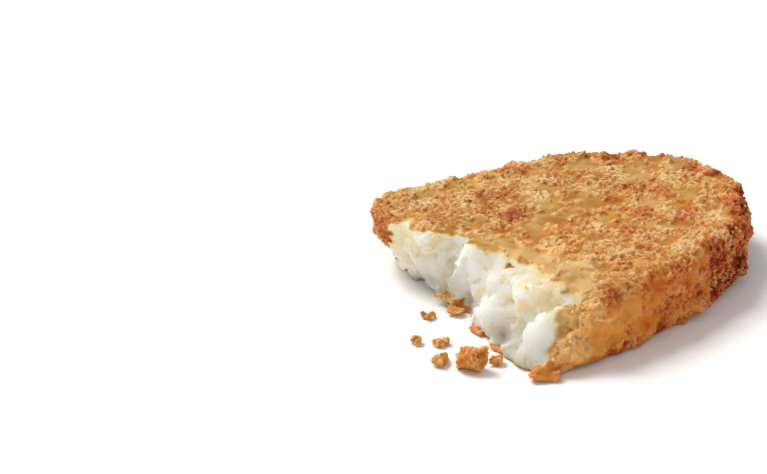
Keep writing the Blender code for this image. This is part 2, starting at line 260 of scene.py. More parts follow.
def points_of(mesh):
    return read_items(mesh.vertices, "co", 3).astype(float)


def normals_of(mesh):
    return read_items(mesh.vertices, "normal", 3).astype(float)


def edges_of(mesh):
    return read_items(mesh.edges, "vertices", 2, np.int32)


def triangles_of(mesh):
    mesh.calc_loop_triangles()
    return read_items(mesh.loop_triangles, "vertices", 3, np.int32)


def put_points(mesh, points):
    mesh.vertices.foreach_set("co", points.astype(np.float32).ravel())
    mesh.update()


def mesh_of(name, points, triangles):
    made = bpy.data.meshes.new(name)
    made.from_pydata(points.tolist(), [], triangles.tolist())
    return made


def with_modifiers(mesh, *modifiers):
    """The mesh after these modifiers, each given as its type and its settings."""
    holder = add_object("holder", mesh)
    for kind, settings in modifiers:
        modifier = holder.modifiers.new(kind.lower(), kind)
        for name, value in settings.items():
            setattr(modifier, name, value)
    graph = bpy.context.evaluated_depsgraph_get()
    made = bpy.data.meshes.new_from_object(holder.evaluated_get(graph))
    bpy.data.objects.remove(holder)
    return made


def skin_of(mesh, step):
    """The mesh as one even skin with faces of about this size."""
    return with_modifiers(mesh, ("REMESH", {"mode": "VOXEL", "voxel_size": step, "adaptivity": 0.0}))


def softened(values, edges, rounds, share=0.5):
    """Each value moved towards the mean of its neighbours, this many times."""
    values = np.array(values, float)
    flat = values.reshape(len(values), -1)
    a, b = edges[:, 0], edges[:, 1]
    count = np.bincount(edges.ravel(), minlength=len(flat)).clip(1)[:, None]
    for _ in range(rounds):
        columns = [np.bincount(a, c[b], len(flat)) + np.bincount(b, c[a], len(flat)) for c in flat.T]
        flat += share * (np.stack(columns, 1) / count - flat)
    return flat.reshape(values.shape)


# %% Soften the solid
BASE_STEP = 0.5 * MM
base = skin_of(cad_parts["hash_brown"].data.copy(), BASE_STEP)
put_points(base, softened(points_of(base), edges_of(base), 5))
print("softened solid:", len(base.vertices), "points")

# %% [markdown]
# ## Marks that frying left
#
# Noise alone makes every part of the crust alike. On a real patty some places stand out: a scorched
# cluster of crumbs, a bare golden shred, a pale piece beside the tear. They are listed here by place and
# size. Each mark gets an uneven edge, so that none of them looks like a disc.

# %% List the marks
# (x, y, z, radius) in mm
MARKS = {
    "russet": (
        (-32.6, 19.6, 11.6, 2.8), (-31.8, 19.4, 13.6, 2.8), (-12, 5.5, 13.6, 3.4), (-15.5, 10.5, 13.8, 2.8),
        (0.6, 20, 13.2, 3.2), (8.7, 19.9, 13.2, 2.4), (7.4, -7.3, 13.3, 3), (1.5, -10.8, 13.3, 1.9),
        (-8.6, -14.2, 13.6, 2.1), (-7.7, -21, 13.2, 2.4), (-16.3, -26.3, 12.6, 2.8), (-31, 20.8, 12.6, 2.6),
        (24.4, -13.3, 12.2, 3), (27.3, 3, 12.9, 2.6), (-25, 10.5, 13.6, 2.6), (-32, 16.5, 8.5, 3.4),
        (12.2, -23.8, 9.6, 4.2), (21.6, -19.6, 5.1, 3.8), (-3.5, -26.6, 2, 2.2), (31.5, -4, 9, 4.5),
        (28, 14, 10, 4), (6, 27, 6, 4), (-14, 28, 8, 3.5),
    ),
    "dark": (
        (11.2, -24.2, 8.6, 2.4), (21.8, -19.8, 4.4, 2.4), (-3.3, -26.3, 0.8, 1.5), (-13.3, -28.3, 1.6, 1),
        (-32.4, 16.2, 9, 1.8), (-12.4, 5.7, 13.6, 1.3), (32, -6, 7, 2), (26.5, 17, 8, 2),
    ),
    "amber": (
        (-7.2, -0.5, 13.5, 2.3), (3.1, 2.2, 13.6, 2.6), (6.8, 0.1, 13.1, 2.6), (-16.6, -27.9, 10.6, 2.1),
        (-5.8, -27.5, 9.6, 3.4), (-25.3, 7.4, 13.7, 2), (-17.9, 2.5, 13.1, 2.4), (-30.6, -27, 1.6, 2.6),
        (-9, -28, 5, 2.6), (4, -26.5, 9, 3), (2, 27.5, 9, 3.4),
    ),
    "tan": (
        (-3.5, 7.6, 13.3, 3.6), (-12.3, -0.2, 13.7, 3.6), (12.6, 14.8, 13, 4), (16.8, 7.4, 13.1, 3.8),
        (20.1, -4.7, 13.5, 3.2), (-19.4, 7.4, 13.4, 2.6), (-12.7, -28, 8.9, 3.2), (-19.6, -28.2, 6.1, 3),
        (-15.6, -28.2, 5.2, 2.6), (-2.3, -6.8, 13.5, 2.8), (-20.5, 20.3, 13.3, 3.2), (-25, -28, 3.6, 3),
        (10, 26.5, 8, 3.6), (-22, 28, 6, 3.4),
    ),
    "cream": (
        (-30.5, 14.4, 13.2, 2.4), (-17, -9.5, 13.5, 4.4), (-19.9, -6.4, 13, 3), (19.2, -14.5, 12.9, 2.4),
        (-24.6, -24.9, 9.9, 2.2), (-16.5, -16.5, 13.3, 3.8), (-18.5, -21.5, 13.2, 3),
    ),
    "golden": (  # lightly fried crust beside the tear
        (-22.6, -26.6, 9.6, 3.4), (-24.8, -26.4, 8, 3.2), (-26.6, -27.4, 5, 3.2), (-22.5, -28.2, 4.6, 2.6),
    ),
    "skin": (  # crust that wraps over the tear
        (-33, 22.5, 12.6, 4), (-33, 20, 12.2, 3.4), (-33.2, 17.8, 10.6, 2.6), (-32.5, 20.5, 8.5, 3.8),
        (-31.6, 20.5, 5, 3.8), (-30.4, 21, 2, 4), (-22.3, -6.9, 10.8, 1.3), (-29.6, 23.8, 13, 3),
        (-30, 25.6, 10.6, 3.6), (-29.6, 25.8, 7, 4), (-28.8, 26.2, 3, 4.2), (-30.6, 23.4, 8, 3.4),
        (-29.8, 23.8, 3.4, 3.6),
    ),
    "soft_skin": (  # the same with a wide soft edge
        (-22, -26.2, 11, 3.4), (-24.4, -25.8, 9.2, 3.6), (-25.8, -26.8, 7, 3.6), (-27.4, -27.6, 4.6, 3.6),
        (-28.8, -28.2, 2.4, 3.4),
    ),
    "white": (  # the cleanest lumps of the inside
        (-25.6, 0.8, 8.6, 4.8), (-28.6, -21, 5.6, 4.4), (-22.6, -12.6, 11.4, 3.6), (-23.8, -17.5, 11.8, 2.6),
        (-28.5, 8, 7.6, 2.2), (-28.2, -24.6, 6.6, 2.4), (-29.6, -24.6, 3.6, 2.4),
    ),
    "frizz": (  # clusters of pale crumbs
        (12, -10.4, 13.5, 2.8), (5.2, -14.2, 13.2, 2.8), (17.4, -15, 12.8, 2.8), (-4, 10, 13.3, 2.8),
        (-3.6, -6.5, 13.1, 2.8), (-14.1, -7.4, 13.5, 2.8), (5.5, -22.3, 13.4, 2.8), (13.7, -21.5, 13.1, 2.8),
        (14.1, 9.7, 13.5, 2.8), (-16.1, 15.7, 13.6, 2.8), (-23.2, 19.4, 13.3, 2.8),
    ),
    "thin": (  # so little crust that the white shows through
        (-24.6, -11.6, 12.6, 2.6), (-23.4, -15.4, 12.9, 3.8), (-23.6, -19.6, 12.4, 3.4),
        (-24.8, -23, 10.6, 2.4),
    ),
    "olive": (  # yellowish potato between the lumps, partly painted shade in the creases
        (-26.4, 11.4, 10.6, 1.8), (-22.8, -13.4, 11.8, 3.2), (-23.8, -18.2, 11.6, 2.8),
        (-24.6, -22.6, 10.8, 2.4), (-29.1, 7.1, 11.6, 2.2), (-27.6, -16.8, 9, 2), (-25.2, -20.4, 9.6, 1.6),
        (-25, -8.2, 9.8, 1.4), (-27.2, -4.4, 5.6, 1.8), (-28.6, 3, 3.4, 1.6), (-29.6, -16.4, 4.6, 1.6),
    ),
}
MARK_EDGES = {"soft_skin": 0.1}  # where a mark's edge begins to fade, as a share of its radius
SHARP_MARK_EDGE = 0.55
print("marks:", sum(len(marks) for marks in MARKS.values()))

# %% [markdown]
# ## Slivers at the foot of the break
#
# Where the patty broke, thin slivers of the bottom crust stayed behind and stick out from below the white
# potato. They are few and clear to see, so each is listed one by one. They are lumps in the same skin as
# the rest, and a box round each one says which points of the skin are its crust.

# %% List the slivers
# Middle (x, y, z), length, depth and height in mm, turn in degrees, and how brown
FOOT_SLIVERS = (
    (-28.6, 4.8, 1.9, 7, 2.4, 1.1, -68, 0.36),
    (-28.9, 0.7, 0.9, 3.8, 2.4, 1.7, -55, 0.4),
    (-30.2, -6.9, 0.7, 3.6, 1.5, 1, -85, 0.46),
    (-31, -13.8, 0.4, 5, 1.7, 0.8, -80, 0.36),
    (-30.6, -27.4, 1, 6.4, 3, 2.4, -32, 0.42),
)


def turned_axes(lean, turn):
    """The directions of a lump that leans sideways and is turned about the upright, in degrees."""
    return np.array(Euler((math.radians(lean), 0, math.radians(turn))).to_matrix())


def mark_shares(points):
    """For each kind of mark, and for the slivers: 1 inside one of them and 0 away from all."""
    uneven = np.stack([smooth_noise(points, 1.7 * MM, 31 + k) for k in range(3)], 1) * 0.9 * MM
    shares = {}
    for kind, marks in MARKS.items():
        shares[kind] = np.zeros(len(points))
        for x, y, z, radius in marks:
            gap = np.linalg.norm(points + uneven - np.array((x, y, z)) * MM, axis=1) / (radius * MM)
            share = smooth_step(1.1, MARK_EDGES.get(kind, SHARP_MARK_EDGE), gap)
            shares[kind] = np.maximum(shares[kind], share)
    shares["sliver"], shares["sliver_brown"] = np.zeros((2, len(points)))
    for *middle, length, depth, height, turn, own in FOOT_SLIVERS:
        off_middle = np.abs((points / MM - middle) @ turned_axes(0, turn) / (length, depth, height)).max(1)
        share = smooth_step(0.64, 0.54, off_middle)
        shares["sliver_brown"] = np.where(share > shares["sliver"], own, shares["sliver_brown"])
        shares["sliver"] = np.maximum(shares["sliver"], share)
    return shares


# %% [markdown]
# ## Patches of smooth shreds and of crumbs
#
# The crust is a patchwork. In some places a shred of potato has fried smooth and golden, and in others
# its broken bits stand up as crumbs. A cell noise makes the patches: each cell is either smooth or
# crumbly, and the joints between cells are always crumbly. Both the relief and the colours read it.

# %% Lay out the patches
PATCH_SIZE = 5.4 * MM
SMOOTH_SHARE = {"top": 0.58, "wall": 0.62, "far_end": 0.4, "near_tear": 0.8}  # share of smooth patches


def patchwork(points, wall, marks):
    """1 where the crust is crumbly and 0 where it is smooth; the depth inside its patch; its number."""
    inside, number = cells(points, PATCH_SIZE, seed=1, warp=0.5, stretch=(1.3, 1, 1))
    far_end = mm_step(-6, 8, points[:, 0]) * mm_step(6, 2, side_depth(points))
    limit = SMOOTH_SHARE["top"] + (SMOOTH_SHARE["wall"] - SMOOTH_SHARE["top"]) * wall
    limit += (SMOOTH_SHARE["far_end"] - limit) * far_end
    near_tear = mm_step(9, 4, behind_tear(points)) * mm_step(6, -2, points[:, 1])
    near_tear *= 1 - wall
    limit += (SMOOTH_SHARE["near_tear"] - limit) * near_tear
    joint = smooth_step(0.12 * wall, 0.14 + 0.16 * wall, inside + 0.12 * smooth_noise(points, 1.1 * MM, 6))
    rim = smooth_step(0.12, 0.3, wall) * smooth_step(0.75, 0.5, wall) * (1 - near_tear)
    rim *= smooth_step(-0.2, 0.4, smooth_noise(points, 3 * MM, 8))
    smooth = smooth_step(limit + 0.03, limit - 0.03, number) * joint * (1 - rim)
    bare = np.maximum(np.maximum(marks["tan"], marks["cream"]), marks["amber"])
    smooth = np.maximum(smooth, bare) * (1 - marks["russet"]) * (1 - marks["frizz"])
    return 1 - smooth, inside, number


def torn(points, marks):
    """1 in the soft white inside that the tear lays open, 0 on the crust, with an uneven edge."""
    uneven = smooth_noise(points, 2.4 * MM, 5) * 0.5 * MM + smooth_noise(points, 0.8 * MM, 7) * 0.15 * MM
    soft_side = mm_step(8, -4, points[:, 1])  # where crust and inside blend over a wider strip
    depth = crust_depth(points) + uneven + marks["white"] * 1.2 * MM
    deep = mm_step(0.1, 0.8 + 1.8 * soft_side, depth)
    deep *= mm_step(5.5, 3.5, behind_tear(points))
    pale_strip = 0.2 * soft_side * mm_step(4.5, 0.5, behind_tear(points) + 2.4 * uneven)
    pale_strip *= mm_step(5, 11, points[:, 2])
    potato = np.maximum(np.maximum(deep, pale_strip), 0.55 * marks["thin"])
    return potato * (1 - marks["skin"]) * (1 - marks["soft_skin"]) * (1 - marks["sliver"])


def wall_share(normals, edges, rounds):
    """1 on the upright sides and 0 on the top and the underside."""
    upright = smooth_step(0.3, 0.75, np.hypot(normals[:, 0], normals[:, 1]))
    return softened(upright, edges, rounds)


base_points = points_of(base)
base_wall = wall_share(normals_of(base), edges_of(base), 6)
base_marks = mark_shares(base_points)
base_crumbly, base_inside, _ = patchwork(base_points, base_wall, base_marks)
base_torn = torn(base_points, base_marks)
print("crumbly share of the crust:", round(float(base_crumbly[base_torn < 0.5].mean()), 2))

# %% [markdown]
# ## A level ground for the torn face
#
# The solid already has the large lumps of the break, but its faces are too flat for them. They are
# smoothed away here and laid on again, finer, in the next steps. On the near side the foot of the face
# is drawn out a little, because the soft potato has sagged there.

# %% Even out the torn face
FOOT_SAG = 0.9 * MM
level = softened(base_points, edges_of(base), 24)
moved = (level - base_points) * (0.8 * base_torn)[:, None]
base_points += moved
foot = mm_step(5, 1, base_points[:, 2]) * mm_step(4, 1, behind_tear(base_points))
foot *= mm_step(-14, -18, base_points[:, 1])
base_points[:, 0] -= FOOT_SAG * foot
put_points(base, base_points)
print("torn face moved by up to", round(float(np.linalg.norm(moved, axis=1).max() / MM), 2), "mm")

# %% [markdown]
# ## Crumbs
#
# A crumb is a chipped bit of potato, about a millimetre across. A noise bump on the surface looks like
# dough, because real crumbs overlap and leave dark gaps below their edges. So thousands of small chipped
# lumps are sunk in the skin, and one voxel remesh melts all of them into it. Each lump is a ball, made
# more or less square, with a few flat cuts.

# %% Shape and scatter lumps
def chipped_shapes(count, subdivisions, seed, squareness=2.0, stretch=0.15, cuts=7):
    """Some lumps of about 1 across, with flat chips, that share one set of triangles."""
    ball = bmesh.new()
    bmesh.ops.create_icosphere(ball, subdivisions=subdivisions, radius=0.5)
    points = np.array([v.co[:] for v in ball.verts])
    triangles = np.array([[v.index for v in f.verts] for f in ball.faces])
    ball.free()
    points = points * 0.5 / (np.abs(points) ** squareness).sum(1)[:, None] ** (1 / squareness)
    dice = np.random.default_rng(seed)
    shapes = []
    for _ in range(count):
        shape = points * dice.uniform(1 - stretch, 1 + stretch, 3)
        shape += shape[:, [1, 2, 0]] * dice.uniform(-0.2, 0.2, 3)
        for _ in range(cuts):
            way = dice.normal(size=3)
            way /= np.linalg.norm(way)
            over = (shape @ way - dice.uniform(0.24, 0.46)).clip(0)
            shape -= over[:, None] * way
        shapes.append(shape)
    return np.array(shapes), triangles


def random_turns(count, dice):
    """Random rotations as matrices, from random quaternions."""
    w, x, y, z = unit(dice.normal(size=(count, 4))).T
    rows = (
        (1 - 2 * (y * y + z * z), 2 * (x * y - z * w), 2 * (x * z + y * w)),
        (2 * (x * y + z * w), 1 - 2 * (x * x + z * z), 2 * (y * z - x * w)),
        (2 * (x * z - y * w), 2 * (y * z + x * w), 1 - 2 * (x * x + y * y)),
    )
    return np.moveaxis(np.array(rows), 2, 0)


def scatter_places(mesh, weights, count, dice):
    """Random places on a mesh, more where the weights of its points are high, with the way out."""
    corners, points, normals = triangles_of(mesh), points_of(mesh), normals_of(mesh)
    a, b, c = (points[corners[:, k]] for k in range(3))
    area = np.linalg.norm(np.cross(b - a, c - a), axis=1)
    chance = area * weights[corners].mean(1)
    chosen = corners[dice.choice(len(corners), count, p=chance / chance.sum())]
    mix = dice.dirichlet((1, 1, 1), count)[:, :, None]
    return (points[chosen] * mix).sum(1), unit((normals[chosen] * mix).sum(1))


def lumps_at(places, ways, sizes, flatness, sink, shapes, triangles, dice):
    """Lumps at these places as one array of points and one of triangles, with their middles."""
    count = len(places)
    chosen = shapes[dice.integers(len(shapes), size=count)]
    scale = sizes[:, None] * dice.uniform(0.7, 1.3, (count, 3))
    scale[:, 2] *= flatness
    turned = np.einsum("nij,nkj->nki", random_turns(count, dice), chosen * scale[:, None, :])
    middles = places - ways * (sizes * dice.uniform(*sink, count))[:, None]
    points = (turned + middles[:, None, :]).reshape(-1, 3)
    steps = np.arange(count)[:, None, None] * chosen.shape[1]
    return points, (triangles[None] + steps).reshape(-1, 3), middles


class Pile:
    """Separate lumps, gathered as one set of points and triangles."""

    def __init__(self):
        self.points, self.triangles, self.size = [], [], 0

    def add(self, points, triangles):
        self.points.append(points)
        self.triangles.append(triangles + self.size)
        self.size += len(points)


# %% Scatter crumbs over the crust
CRUMB_COUNT = 8600
CRUMB_SIZE = (0.62 * MM, 2.1 * MM)
CRUMB_SINK = (0.1, 0.4)  # how far a crumb's middle lies in the crust, as a share of its size

crumb_dice = np.random.default_rng(7)
crumb_shapes, crumb_triangles = chipped_shapes(24, 2, seed=3, stretch=0.4)
off_table = mm_step(0.2, 1.4, base_points[:, 2])
low_lip = mm_step(3, 1.5, base_points[:, 2])
low_lip *= mm_step(3, 1, behind_tear(base_points))
crumb_weights = (1 - base_torn) * (0.03 + base_crumbly**1.5) * off_table * (1 - low_lip)
crumb_weights *= 1 - 0.25 * base_wall * mm_step(0, 16, base_points[:, 0])
crumb_places, crumb_ways = scatter_places(base, crumb_weights, CRUMB_COUNT, crumb_dice)
crumb_sizes = CRUMB_SIZE[0] + (CRUMB_SIZE[1] - CRUMB_SIZE[0]) * crumb_dice.beta(1.1, 3.4, CRUMB_COUNT)
# On the upright sides the crumbs are smaller and sit deeper
crumb_upright = smooth_step(0.3, 0.75, np.hypot(crumb_ways[:, 0], crumb_ways[:, 1]))
crumb_sizes *= 1 - 0.2 * crumb_upright
crumb_places -= crumb_ways * (0.16 * crumb_upright * crumb_sizes)[:, None]
crumbs, crumb_faces, crumb_middles = lumps_at(
    crumb_places, crumb_ways, crumb_sizes, 0.75, CRUMB_SINK, crumb_shapes, crumb_triangles, crumb_dice
)
to_melt = Pile()
to_melt.add(crumbs, crumb_faces)
print("crumbs:", CRUMB_COUNT, "up to", round(crumb_sizes.max() / MM, 1), "mm")

# %% [markdown]
# ## Lumps and flakes of the torn face
#
# Boiled potato breaks into blocks with flat, glassy faces. The largest blocks are listed one by one, because
# the eye goes to them first. Smaller lumps fill the rest, and thin flakes lie flat on the face like
# shingles. A lump with many flat cuts looks broken, and one with few cuts looks like cheese.

# %% List the large lumps
# Middle (x, y, z); length along the tear, depth and height, in mm; turn about the upright and lean
# sideways, in degrees; tone from 0, white, to 1, cream
BIG_LUMPS = (
    (-23.4, -0.4, 7.9, 13, 8.8, 10.8, 14, 9, 0),
    (-27.2, 14.2, 8, 6.6, 5.6, 9, 10, -6, 0.35),
    (-26.9, 8.8, 6.4, 6, 4.4, 5.4, 20, 12, 0.3),
    (-26.8, 11.6, 2, 5.6, 3.4, 3.2, 10, 4, 0.6),
    (-23.8, -9.4, 8, 5.6, 4.4, 4.4, 6, -10, 0.15),
    (-27.3, -8.6, 3.2, 12, 5.6, 7.2, 6, 4, 0.35),
    (-27.2, -15.6, 3.4, 5, 5, 6.4, 12, -8, 0.4),
    (-26.9, -22.2, 4.9, 8.4, 5.8, 9.6, 14, 8, 0),
    (-22.6, -13.6, 9.6, 7, 5.6, 5.2, 4, 6, 0.3),
    (-23.6, -20.2, 8.8, 6.4, 5.2, 5.2, 12, -4, 0.6),
    (-30, -19.4, 1.4, 4.4, 2.8, 2.6, 0, 0, 0.9),
    (-25.4, 3.4, 2.8, 6, 4.4, 5, -6, 8, 0.7),
)
lump_shapes, lump_triangles = chipped_shapes(18, 4, seed=8, squareness=6.0)
big_shapes, big_triangles = chipped_shapes(len(BIG_LUMPS), 5, seed=17, squareness=5.0, cuts=18)

for shape, (*middle, length, depth, height, turn, _) in zip(lump_shapes, FOOT_SLIVERS):
    to_melt.add((shape * (length, depth, height) @ turned_axes(0, turn).T + middle) * MM, lump_triangles)
toned_lumps = []  # middle, directions, size and tone
on_big_lump = np.zeros(len(base_points))
for shape, (*middle, length, depth, height, turn, lean, tone) in zip(big_shapes, BIG_LUMPS):
    middle, size = np.array(middle) * MM, np.array((depth, length, height)) * MM
    axes = turned_axes(lean, turn)
    toned_lumps.append((middle, axes, size, tone))
    to_melt.add(shape * size @ axes.T + middle, big_triangles)
    off_middle = np.abs((base_points - middle) @ axes / size)[:, 1:].max(1)
    on_big_lump = np.maximum(on_big_lump, smooth_step(0.56, 0.42, off_middle))
print("slivers:", len(FOOT_SLIVERS), " large lumps:", len(BIG_LUMPS))

# %% Scatter small lumps and flakes over the torn face
LUMP_SETS = ((10, 1.4, 2.2, 0.6), (12, 0.7, 1.2, 0.45))  # count, sizes, sink
FLAKE_COUNT = 80
FLAKE_SIZE = (1.8 * MM, 4.6 * MM)


def turns_along(ways, tilt, dice):
    """Rotations that stand the third axis along each way, give or take a tilt."""
    third = ways + tilt * dice.normal(size=ways.shape)
    first = unit(np.cross(dice.normal(size=ways.shape), third))
    third = unit(third)
    return np.stack([first, np.cross(third, first), third], 2)


for count, least, most, sunk in LUMP_SETS:
    room = mm_step(0.3 * most, 0.6 * most, crust_depth(base_points))  # lumps keep off the crust
    room = room * mm_step(1.5, 3.5, base_points[:, 2]) * (1 - 0.85 * on_big_lump)
    lump_places, lump_ways = scatter_places(base, (base_torn > 0.6) * off_table * room, count, crumb_dice)
    sizes = crumb_dice.uniform(least, most, count) * MM
    lumps, faces, _ = lumps_at(
        lump_places, lump_ways, sizes, 0.8, (sunk, sunk + 0.15), lump_shapes, lump_triangles, crumb_dice
    )
    to_melt.add(lumps, faces)
flake_weights = (base_torn > 0.6) * off_table * (1 - 0.7 * on_big_lump)
flake_weights *= mm_step(0.2, 1.6, crust_depth(base_points))
flake_places, flake_ways = scatter_places(base, flake_weights, FLAKE_COUNT, crumb_dice)
flake_turns = turns_along(flake_ways, 0.16, crumb_dice)
flake_sizes = FLAKE_SIZE[0] + (FLAKE_SIZE[1] - FLAKE_SIZE[0]) * crumb_dice.beta(1.3, 2.2, FLAKE_COUNT)
for number, (place, turn, size) in enumerate(zip(flake_places, flake_turns, flake_sizes)):
    size *= np.array((1, crumb_dice.uniform(0.5, 0.9), crumb_dice.uniform(0.2, 0.34)))
    to_melt.add(lump_shapes[number % len(lump_shapes)] * size @ turn.T + place, lump_triangles)
    toned_lumps.append((place, turn, size * (1, 1, 1.6), crumb_dice.uniform(0.0, 0.9)))
print("flakes:", FLAKE_COUNT, " points before they melt in:", to_melt.size)

# %% [markdown]
# ## The relief of the smooth patches
#
# Under the crumbs the softened solid gets its own relief. On the top the smooth patches lie a little
# lower than the crumbs round them, and on the sides each shred is a low dome with a groove round it.

# %% Raise the shreds
base_dome = 0.26 * MM * (smooth_step(0.0, 0.5, base_inside) - 0.6) * base_wall
base_lift = (0.15 * base_crumbly - 0.3) * MM * (1 - base_wall) - 0.45 * MM * base_crumbly * base_wall
base_lift -= 0.35 * MM * base_wall * mm_step(0, 16, base_points[:, 0])
base_swell = 0.1 * MM * smooth_noise(base_points, 1.8 * MM, 9)
base_swell += 0.05 * MM * smooth_noise(base_points, 0.9 * MM, 10)
base_raise = (base_dome + base_lift) * (1 - base_torn) + base_swell
put_points(base, base_points + normals_of(base) * (base_raise * off_table)[:, None])
print("relief from", round(base_raise.min() / MM, 2), "to", round(base_raise.max() / MM, 2), "mm")

# %% [markdown]
# ## One skin for all
#
# A voxel remesh of the patty and all its lumps gives one closed skin, in which the crumbs are part of the
# crust. On the torn face that skin is softened again, so that the lumps run into each other, and then
# broken into chunks: a cell noise gives each chunk a flat face at its own slant. The smooth patches of
# the side get faint faces in the same way, because a shred of potato is not quite round. Last, a ridged
# noise roughens the crumbs, and a Decimate modifier merges the flattest triangles.

# %% Helpers for the skin
def without_strays(mesh):
    """The mesh's largest connected part, without triangles that thinning folded flat onto each other."""
    corners, points = triangles_of(mesh), points_of(mesh)
    _, same, uses = np.unique(np.sort(corners, axis=1), axis=0, return_inverse=True, return_counts=True)
    corners = corners[uses[same.ravel()] == 1]
    part, before = np.arange(len(points)), None
    while before is None or (part != before).any():  # each point takes the lowest number near it
        before = part.copy()
        np.minimum.at(part, corners.ravel(), np.repeat(before[corners].min(1), 3))
        part = part[part]
    part = part[corners[:, 0]]
    used, renumbered = np.unique(corners[part == np.bincount(part).argmax()], return_inverse=True)
    print("strays left out:", len(mesh.loop_triangles) - len(renumbered.ravel()) // 3, "triangles")
    return mesh_of("fine_skin", points[used], renumbered.reshape(-1, 3))


def thinned(mesh, most):
    """The mesh with its flattest triangles merged until it has no more than this many."""
    share = most / len(triangles_of(mesh))
    if share >= 1:
        return mesh
    split = ("TRIANGULATE", {"quad_method": "SHORTEST_DIAGONAL"})
    return with_modifiers(mesh, split, ("DECIMATE", {"ratio": share}))


def chunks(points, size, seed):
    """Chunks packed side by side: each point's place, its chunk's middle and how far inside it is."""
    shifted = points / size + np.array((5.3, 11.9, 2.7)) * (seed + 1)
    shifted += 0.12 * np.stack([smooth_noise(points, size * 0.7, seed + k) for k in (51, 52, 53)], 1)
    return (shifted, *nearest_cells(shifted))


def slants(points, size, seed):
    """How far each point is raised where every chunk has a flat face at its own slant."""
    shifted, middle, _ = chunks(points, size, seed)
    way = np.sin(middle @ ((12.99, 78.23, 37.72), (39.35, 11.14, 83.16), (73.16, 52.24, 9.15)) * 43.76)
    way = unit(way)
    return ((shifted - middle) * way).sum(1) * 0.4 + way[:, 0] * 0.12


# %% Melt the lumps into the skin
FINE_STEP = 0.2 * MM
CHUNKS = ((4.4, 0.34), (2.1, 0.3), (0.9, 0.18))  # size in mm, and how strongly they stand out
FACET_SIZE, FACET_SHARE, FACET_SEED = 2.4, 0.34, 7  # the same for the smooth patches of the side

own_points, own_triangles = points_of(base), triangles_of(base)
all_points = np.concatenate([own_points, *to_melt.points])
all_triangles = np.concatenate([own_triangles] + [t + len(own_points) for t in to_melt.triangles])
fine = skin_of(mesh_of("joined", all_points, all_triangles), FINE_STEP)
print("fine skin:", len(fine.vertices), "points")

fine_edges = edges_of(fine)
fine_points = softened(points_of(fine), fine_edges, 1)
fine_marks = mark_shares(fine_points)
rough_torn = torn(fine_points, fine_marks)
melted = softened(fine_points, fine_edges, 2)
fine_points += (melted - fine_points) * (0.8 * rough_torn)[:, None]
put_points(fine, fine_points)
chunky = sum(part * size * slants(fine_points, size * MM, seed) for seed, (size, part) in enumerate(CHUNKS))
fine_points += normals_of(fine) * (chunky * rough_torn * MM)[:, None]
melted = softened(fine_points, fine_edges, 1)
fine_points += (melted - fine_points) * rough_torn[:, None]
put_points(fine, fine_points)

# %% Roughen the crumbs, then thin the skin
MOST_TRIANGLES = 470000
RIDGE_HEIGHT = 0.10  # mm

rough_wall = wall_share(normals_of(fine), fine_edges, 20)
rough_crumbly, _, _ = patchwork(fine_points, rough_wall, fine_marks)
ridges = 1 - 2.2 * np.abs(smooth_noise(fine_points, 0.55 * MM, 14))
grainy = smooth_noise(fine_points, 0.5 * MM, 15) * 0.016 + smooth_noise(fine_points, 1.1 * MM, 16) * 0.03
roughen = ridges * RIDGE_HEIGHT * rough_crumbly * (1 - rough_torn) + grainy * rough_torn
smooth_side = rough_wall * (1 - rough_crumbly) * (1 - rough_torn)
side = np.flatnonzero(smooth_side > 0.02)
facets = slants(fine_points[side], FACET_SIZE * MM, FACET_SEED)
roughen[side] += smooth_side[side] * FACET_SIZE * FACET_SHARE * facets
put_points(fine, fine_points + normals_of(fine) * (roughen * MM)[:, None])
fine = without_strays(thinned(fine, MOST_TRIANGLES))
fine_points, fine_edges = points_of(fine), edges_of(fine)
fine_points[:, 2] = fine_points[:, 2].clip(0)
put_points(fine, fine_points)
print("after thinning:", len(fine.polygons), "triangles")

# %% [markdown]
# ## What the colours need to know
#
# The colours darken what lies deep, as painted shade in the gaps, and pale the crumbs that stand out, partly
# as a painted highlight. So each point of the skin gets a few numbers that the material reads as attributes:
# how torn, how crumbly, how proud or how deep it is, and a tone that differs from crumb to crumb.

# %% Measure the skin
JOINT_TONE = 0.85  # tone of the torn face between its large lumps


def proudness(mesh, scale):
    """How far each point stands out of the skin round it, -1 to 1."""
    points = points_of(mesh)
    smooth = softened(points, edges_of(mesh), 14)
    return np.clip(((points - smooth) * normals_of(mesh)).sum(1) / scale, -1, 1)


def nearest_tone(points, middles, reach, seed):
    """For each point the own number of the crumb that it belongs to, and 1 where it is surely on it."""
    tones = np.random.default_rng(seed).random(len(middles))
    tree = kdtree.KDTree(len(middles))
    for number, middle in enumerate(middles.tolist()):
        tree.insert(middle, number)
    tree.balance()
    found = [tree.find(p) for p in points.tolist()]
    index = np.array([number for _, number, _ in found])
    gap = np.array([distance for _, _, distance in found])
    return tones[index], smooth_step(0.75, 0.5, gap / reach[index])


fine_wall = wall_share(normals_of(fine), fine_edges, 40)
fine_marks = mark_shares(fine_points)
fine_crumbly, fine_inside, fine_patch = patchwork(fine_points, fine_wall, fine_marks)
fine_torn = torn(fine_points, fine_marks)
crumb_tone, on_crumb = nearest_tone(fine_points, crumb_middles, crumb_sizes, 21)
fine_crumb = on_crumb * (1 - fine_torn)
proud = proudness(fine, 0.2 * MM)
print("torn share:", round(float(fine_torn.mean()), 3), "crumb share:", round(float(fine_crumb.mean()), 3))

